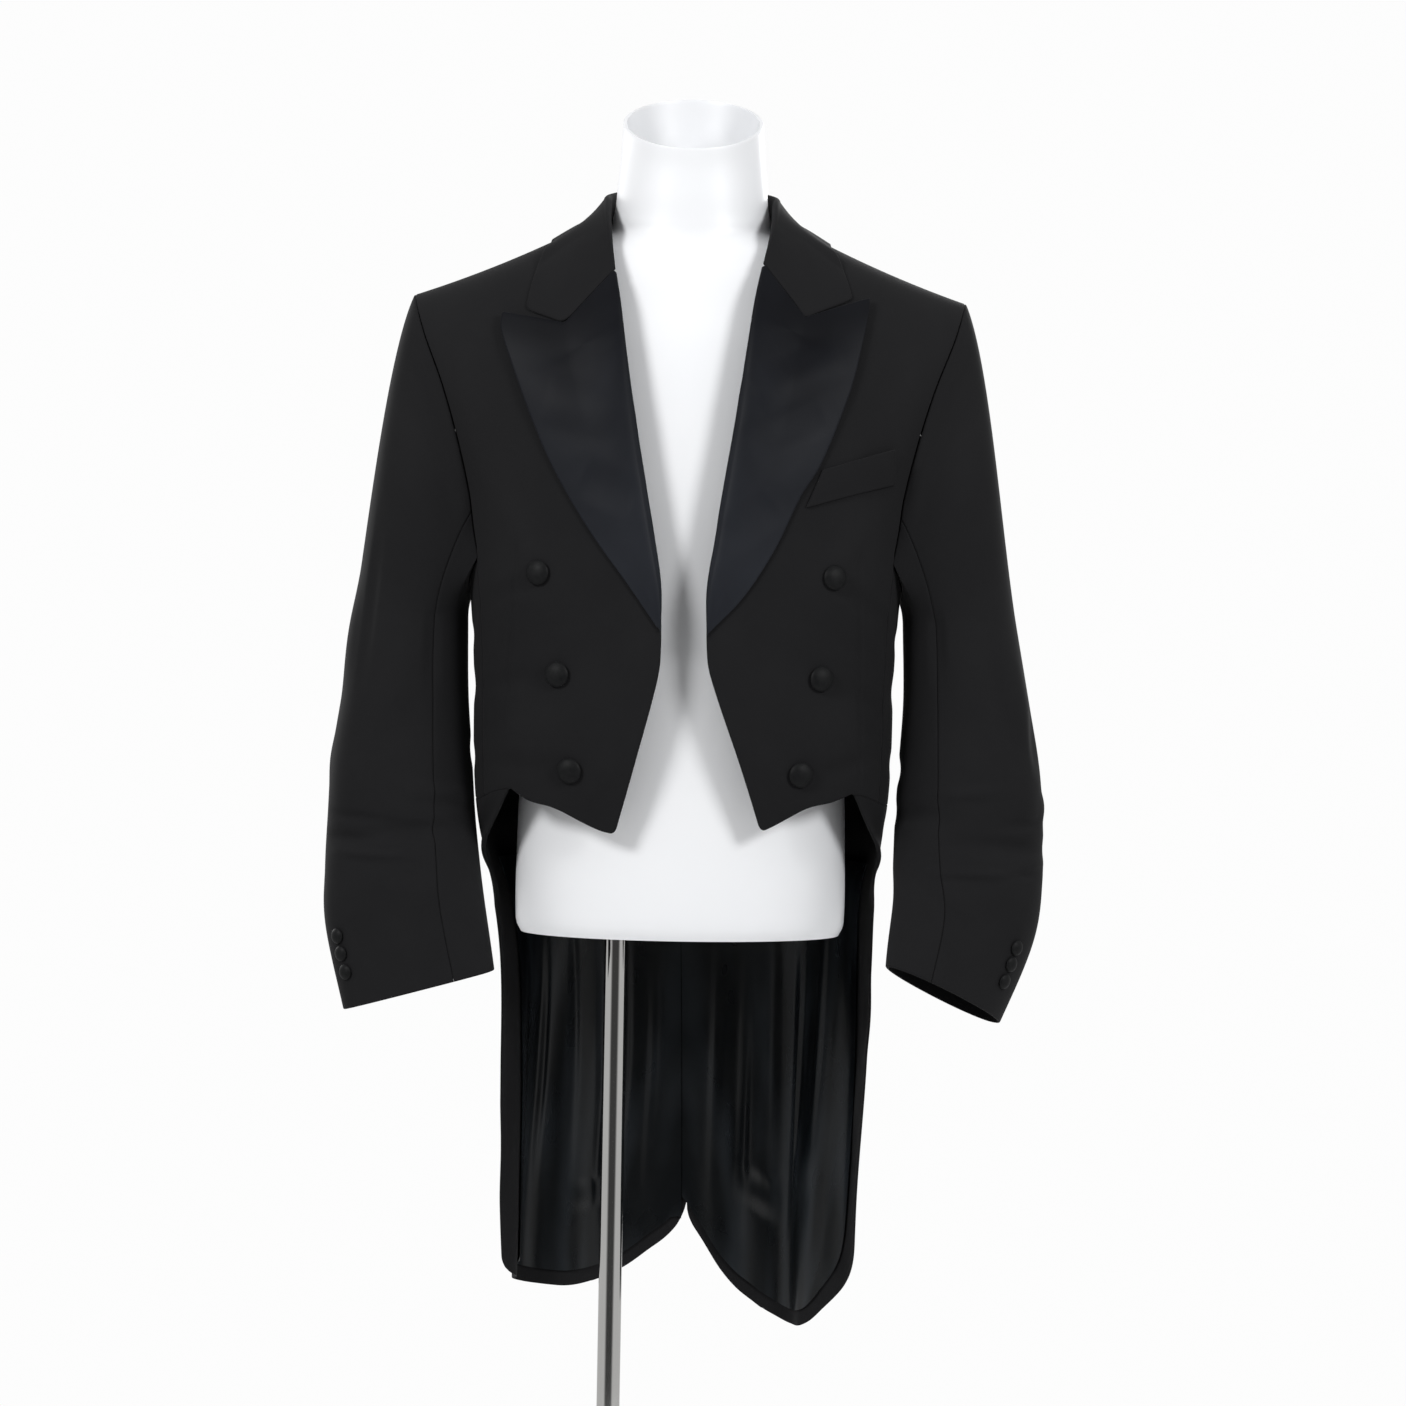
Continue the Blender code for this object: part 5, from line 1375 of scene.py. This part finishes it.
def polishedMetal(name, color, roughness, scale):
    made, shader = startMaterial(name, color, roughness[0], 1.0)
    brush = mapped(made, addNode(made, "TexNoise", {"Scale": 30.0, "Detail": 4.0}), scale, uv=False)
    smear = mapped(made, addNode(made, "TexNoise", {"Scale": 11.0, "Detail": 3.0}), (1, 1, 1), uv=False)
    tinted(made, shader, smear.outputs["Fac"], [c * 0.96 for c in color], color)
    roughened(made, shader, smear.outputs["Fac"], *roughness)
    bumped(made, shader, [(brush.outputs["Fac"], 0.05, 0.0001)])
    return made


looks = {
    "wool": woolTwill(),
    "satin": silkSatin("slate satin of the lapels", "satin", 0.0010),
    "button_satin": buttonSatin(),
    "lining": glossyLining(),
    "form_plastic": whitePlastic(),
    "chrome": polishedMetal("chromed tube", (0.66, 0.655, 0.64), (0.06, 0.10), (1, 1, 0.02)),
    "base_steel": polishedMetal("polished base plate", (0.38, 0.38, 0.38), (0.20, 0.28), (1, 1, 1)),
}
print("materials made:", len(looks))


def finishPiece(piece, slotName, *nodes):
    piece.data.materials.clear()
    piece.data.materials.append(looks[slotName])
    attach(piece, "root")
    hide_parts(*nodes)


for side in ("left", "right"):
    for name, build in (("front", frontPanel), ("side", sidePanel), ("back", backPanel)):
        piece = build(side)
        finishPiece(piece, "wool", f"{name}_{side}")
    print("body panels sewn:", side)
    piece = skirtPanel(side)
    finishPiece(piece, "wool", f"skirt_{side}")
    piece = liningPanel(side)
    finishPiece(piece, "lining", f"tail_lining_{side}")
    print("tail lined:", side)
    piece = lapel(side)
    finishPiece(piece, "satin", f"lapel_{side}")
    for panel, node in (("topSleeve", "top_sleeve"), ("underSleeve", "under_sleeve")):
        piece = sleeve(side, panel)
        finishPiece(piece, "wool", f"{node}_{side}")
    print("lapel and sleeve set:", side)
    for kind, made in (("front", frontButtons(side)), ("cuff", cuffButtons(side))):
        for i, piece in enumerate(made, start=1):
            finishPiece(piece, "button_satin", f"{kind}_button_{side}_{i}")

piece = collar()
finishPiece(piece, "wool", "collar")
piece = breastWelt()
finishPiece(piece, "wool", "breast_welt")
print("collar and breast welt laid")
finishPiece(displayForm(), "form_plastic", "display_form")
finishPiece(pole(), "chrome", "pole")
finishPiece(basePlate(), "base_steel", "base")
print("form and stand made")


studio = {
    "floorRadius": 1.4,
    "world": 0.98,
    "roomGlow": 0.58,
    "roomDark": 0.10,  # the room is dark behind the camera, and the backdrop white all round
    "darkUntil": (0.06, 0.16),
    # place, size, strength, and the height that each soft light looks at
    "lights": [
        ((-1.50, -1.75, 2.2), 0.7, 33, 1.1),
        ((1.55, -1.70, 2.0), 0.7, 27, 1.1),
        ((0.9, 1.9, 2.2), 0.9, 20, 1.1),
        ((-1.7, 1.5, 1.6), 0.9, 13, 1.0),
    ],
    "cameraPlace": (0.017, -2.1, 1.05),
    "cameraRoll": 1.0,
    "focal": 2414.0,
    "frameWidth": 1406.0,
}


def setStudio():
    shape = bmesh.new()
    bmesh.ops.create_circle(shape, cap_ends=True, segments=128, radius=studio["floorRadius"])
    floor = finishMesh("studioFloor", shape)
    surface, shader = startMaterial("pale studio floor", (0.80, 0.80, 0.80), 0.75)
    cloud = mapped(surface, addNode(surface, "TexNoise", {"Scale": 3.0, "Detail": 3.0}), (1, 1, 1), uv=False)
    tinted(surface, shader, cloud.outputs["Fac"], (0.79, 0.79, 0.79), (0.81, 0.81, 0.81))
    floor.data.materials.append(surface)

    world = bpy.data.worlds.new("white studio")
    world.use_nodes = True
    tree = world.node_tree
    backdrop = tree.nodes["Background"]
    backdrop.inputs["Color"].default_value = (1, 1, 1, 1)
    backdrop.inputs["Strength"].default_value = studio["world"]
    room = tree.nodes.new("ShaderNodeBackground")
    room.inputs["Strength"].default_value = studio["roomGlow"]
    where, parts = tree.nodes.new("ShaderNodeTexCoord"), tree.nodes.new("ShaderNodeSeparateXYZ")
    darkSide, path = tree.nodes.new("ShaderNodeValToRGB"), tree.nodes.new("ShaderNodeLightPath")
    toward = tree.nodes.new("ShaderNodeMapRange")
    toward.inputs["From Min"].default_value, toward.inputs["From Max"].default_value = -1.0, 1.0
    first, last = darkSide.color_ramp.elements
    first.color, last.color = (*[studio["roomDark"]] * 3, 1), (1, 1, 1, 1)
    first.position, last.position = studio["darkUntil"]
    either = tree.nodes.new("ShaderNodeMixShader")
    tree.links.new(where.outputs["Generated"], parts.inputs["Vector"])
    tree.links.new(parts.outputs["Y"], toward.inputs["Value"])
    tree.links.new(toward.outputs["Result"], darkSide.inputs["Fac"])
    tree.links.new(darkSide.outputs["Color"], room.inputs["Color"])
    tree.links.new(path.outputs["Is Camera Ray"], either.inputs["Fac"])
    tree.links.new(room.outputs["Background"], either.inputs[1])
    tree.links.new(backdrop.outputs["Background"], either.inputs[2])
    tree.links.new(either.outputs["Shader"], tree.nodes["World Output"].inputs["Surface"])
    bpy.context.scene.world = world
    for i, (place, size, power, target) in enumerate(studio["lights"]):
        light = bpy.data.lights.new(f"soft light {i + 1}", "AREA")
        light.shape, light.size, light.energy = "DISK", size, power
        lamp = bpy.data.objects.new(light.name, light)
        lamp.location = place
        lamp.rotation_euler = (Vector((0, 0, target)) - Vector(place)).to_track_quat("-Z", "Y").to_euler()
        bpy.context.scene.collection.objects.link(lamp)

    camera = bpy.data.cameras.new("photo camera")
    camera.sensor_width = 36
    camera.lens = 36 * studio["focal"] / studio["frameWidth"]
    holder = bpy.data.objects.new("photo camera", camera)
    roll = Matrix.Rotation(math.radians(studio["cameraRoll"]), 4, "Z")
    level = Matrix.Rotation(math.radians(90), 4, "X")
    holder.matrix_world = Matrix.Translation(studio["cameraPlace"]) @ level @ roll
    bpy.context.scene.collection.objects.link(holder)
    bpy.context.scene.camera = holder
    bpy.context.scene.view_settings.view_transform = "Standard"


setStudio()
print("studio set")
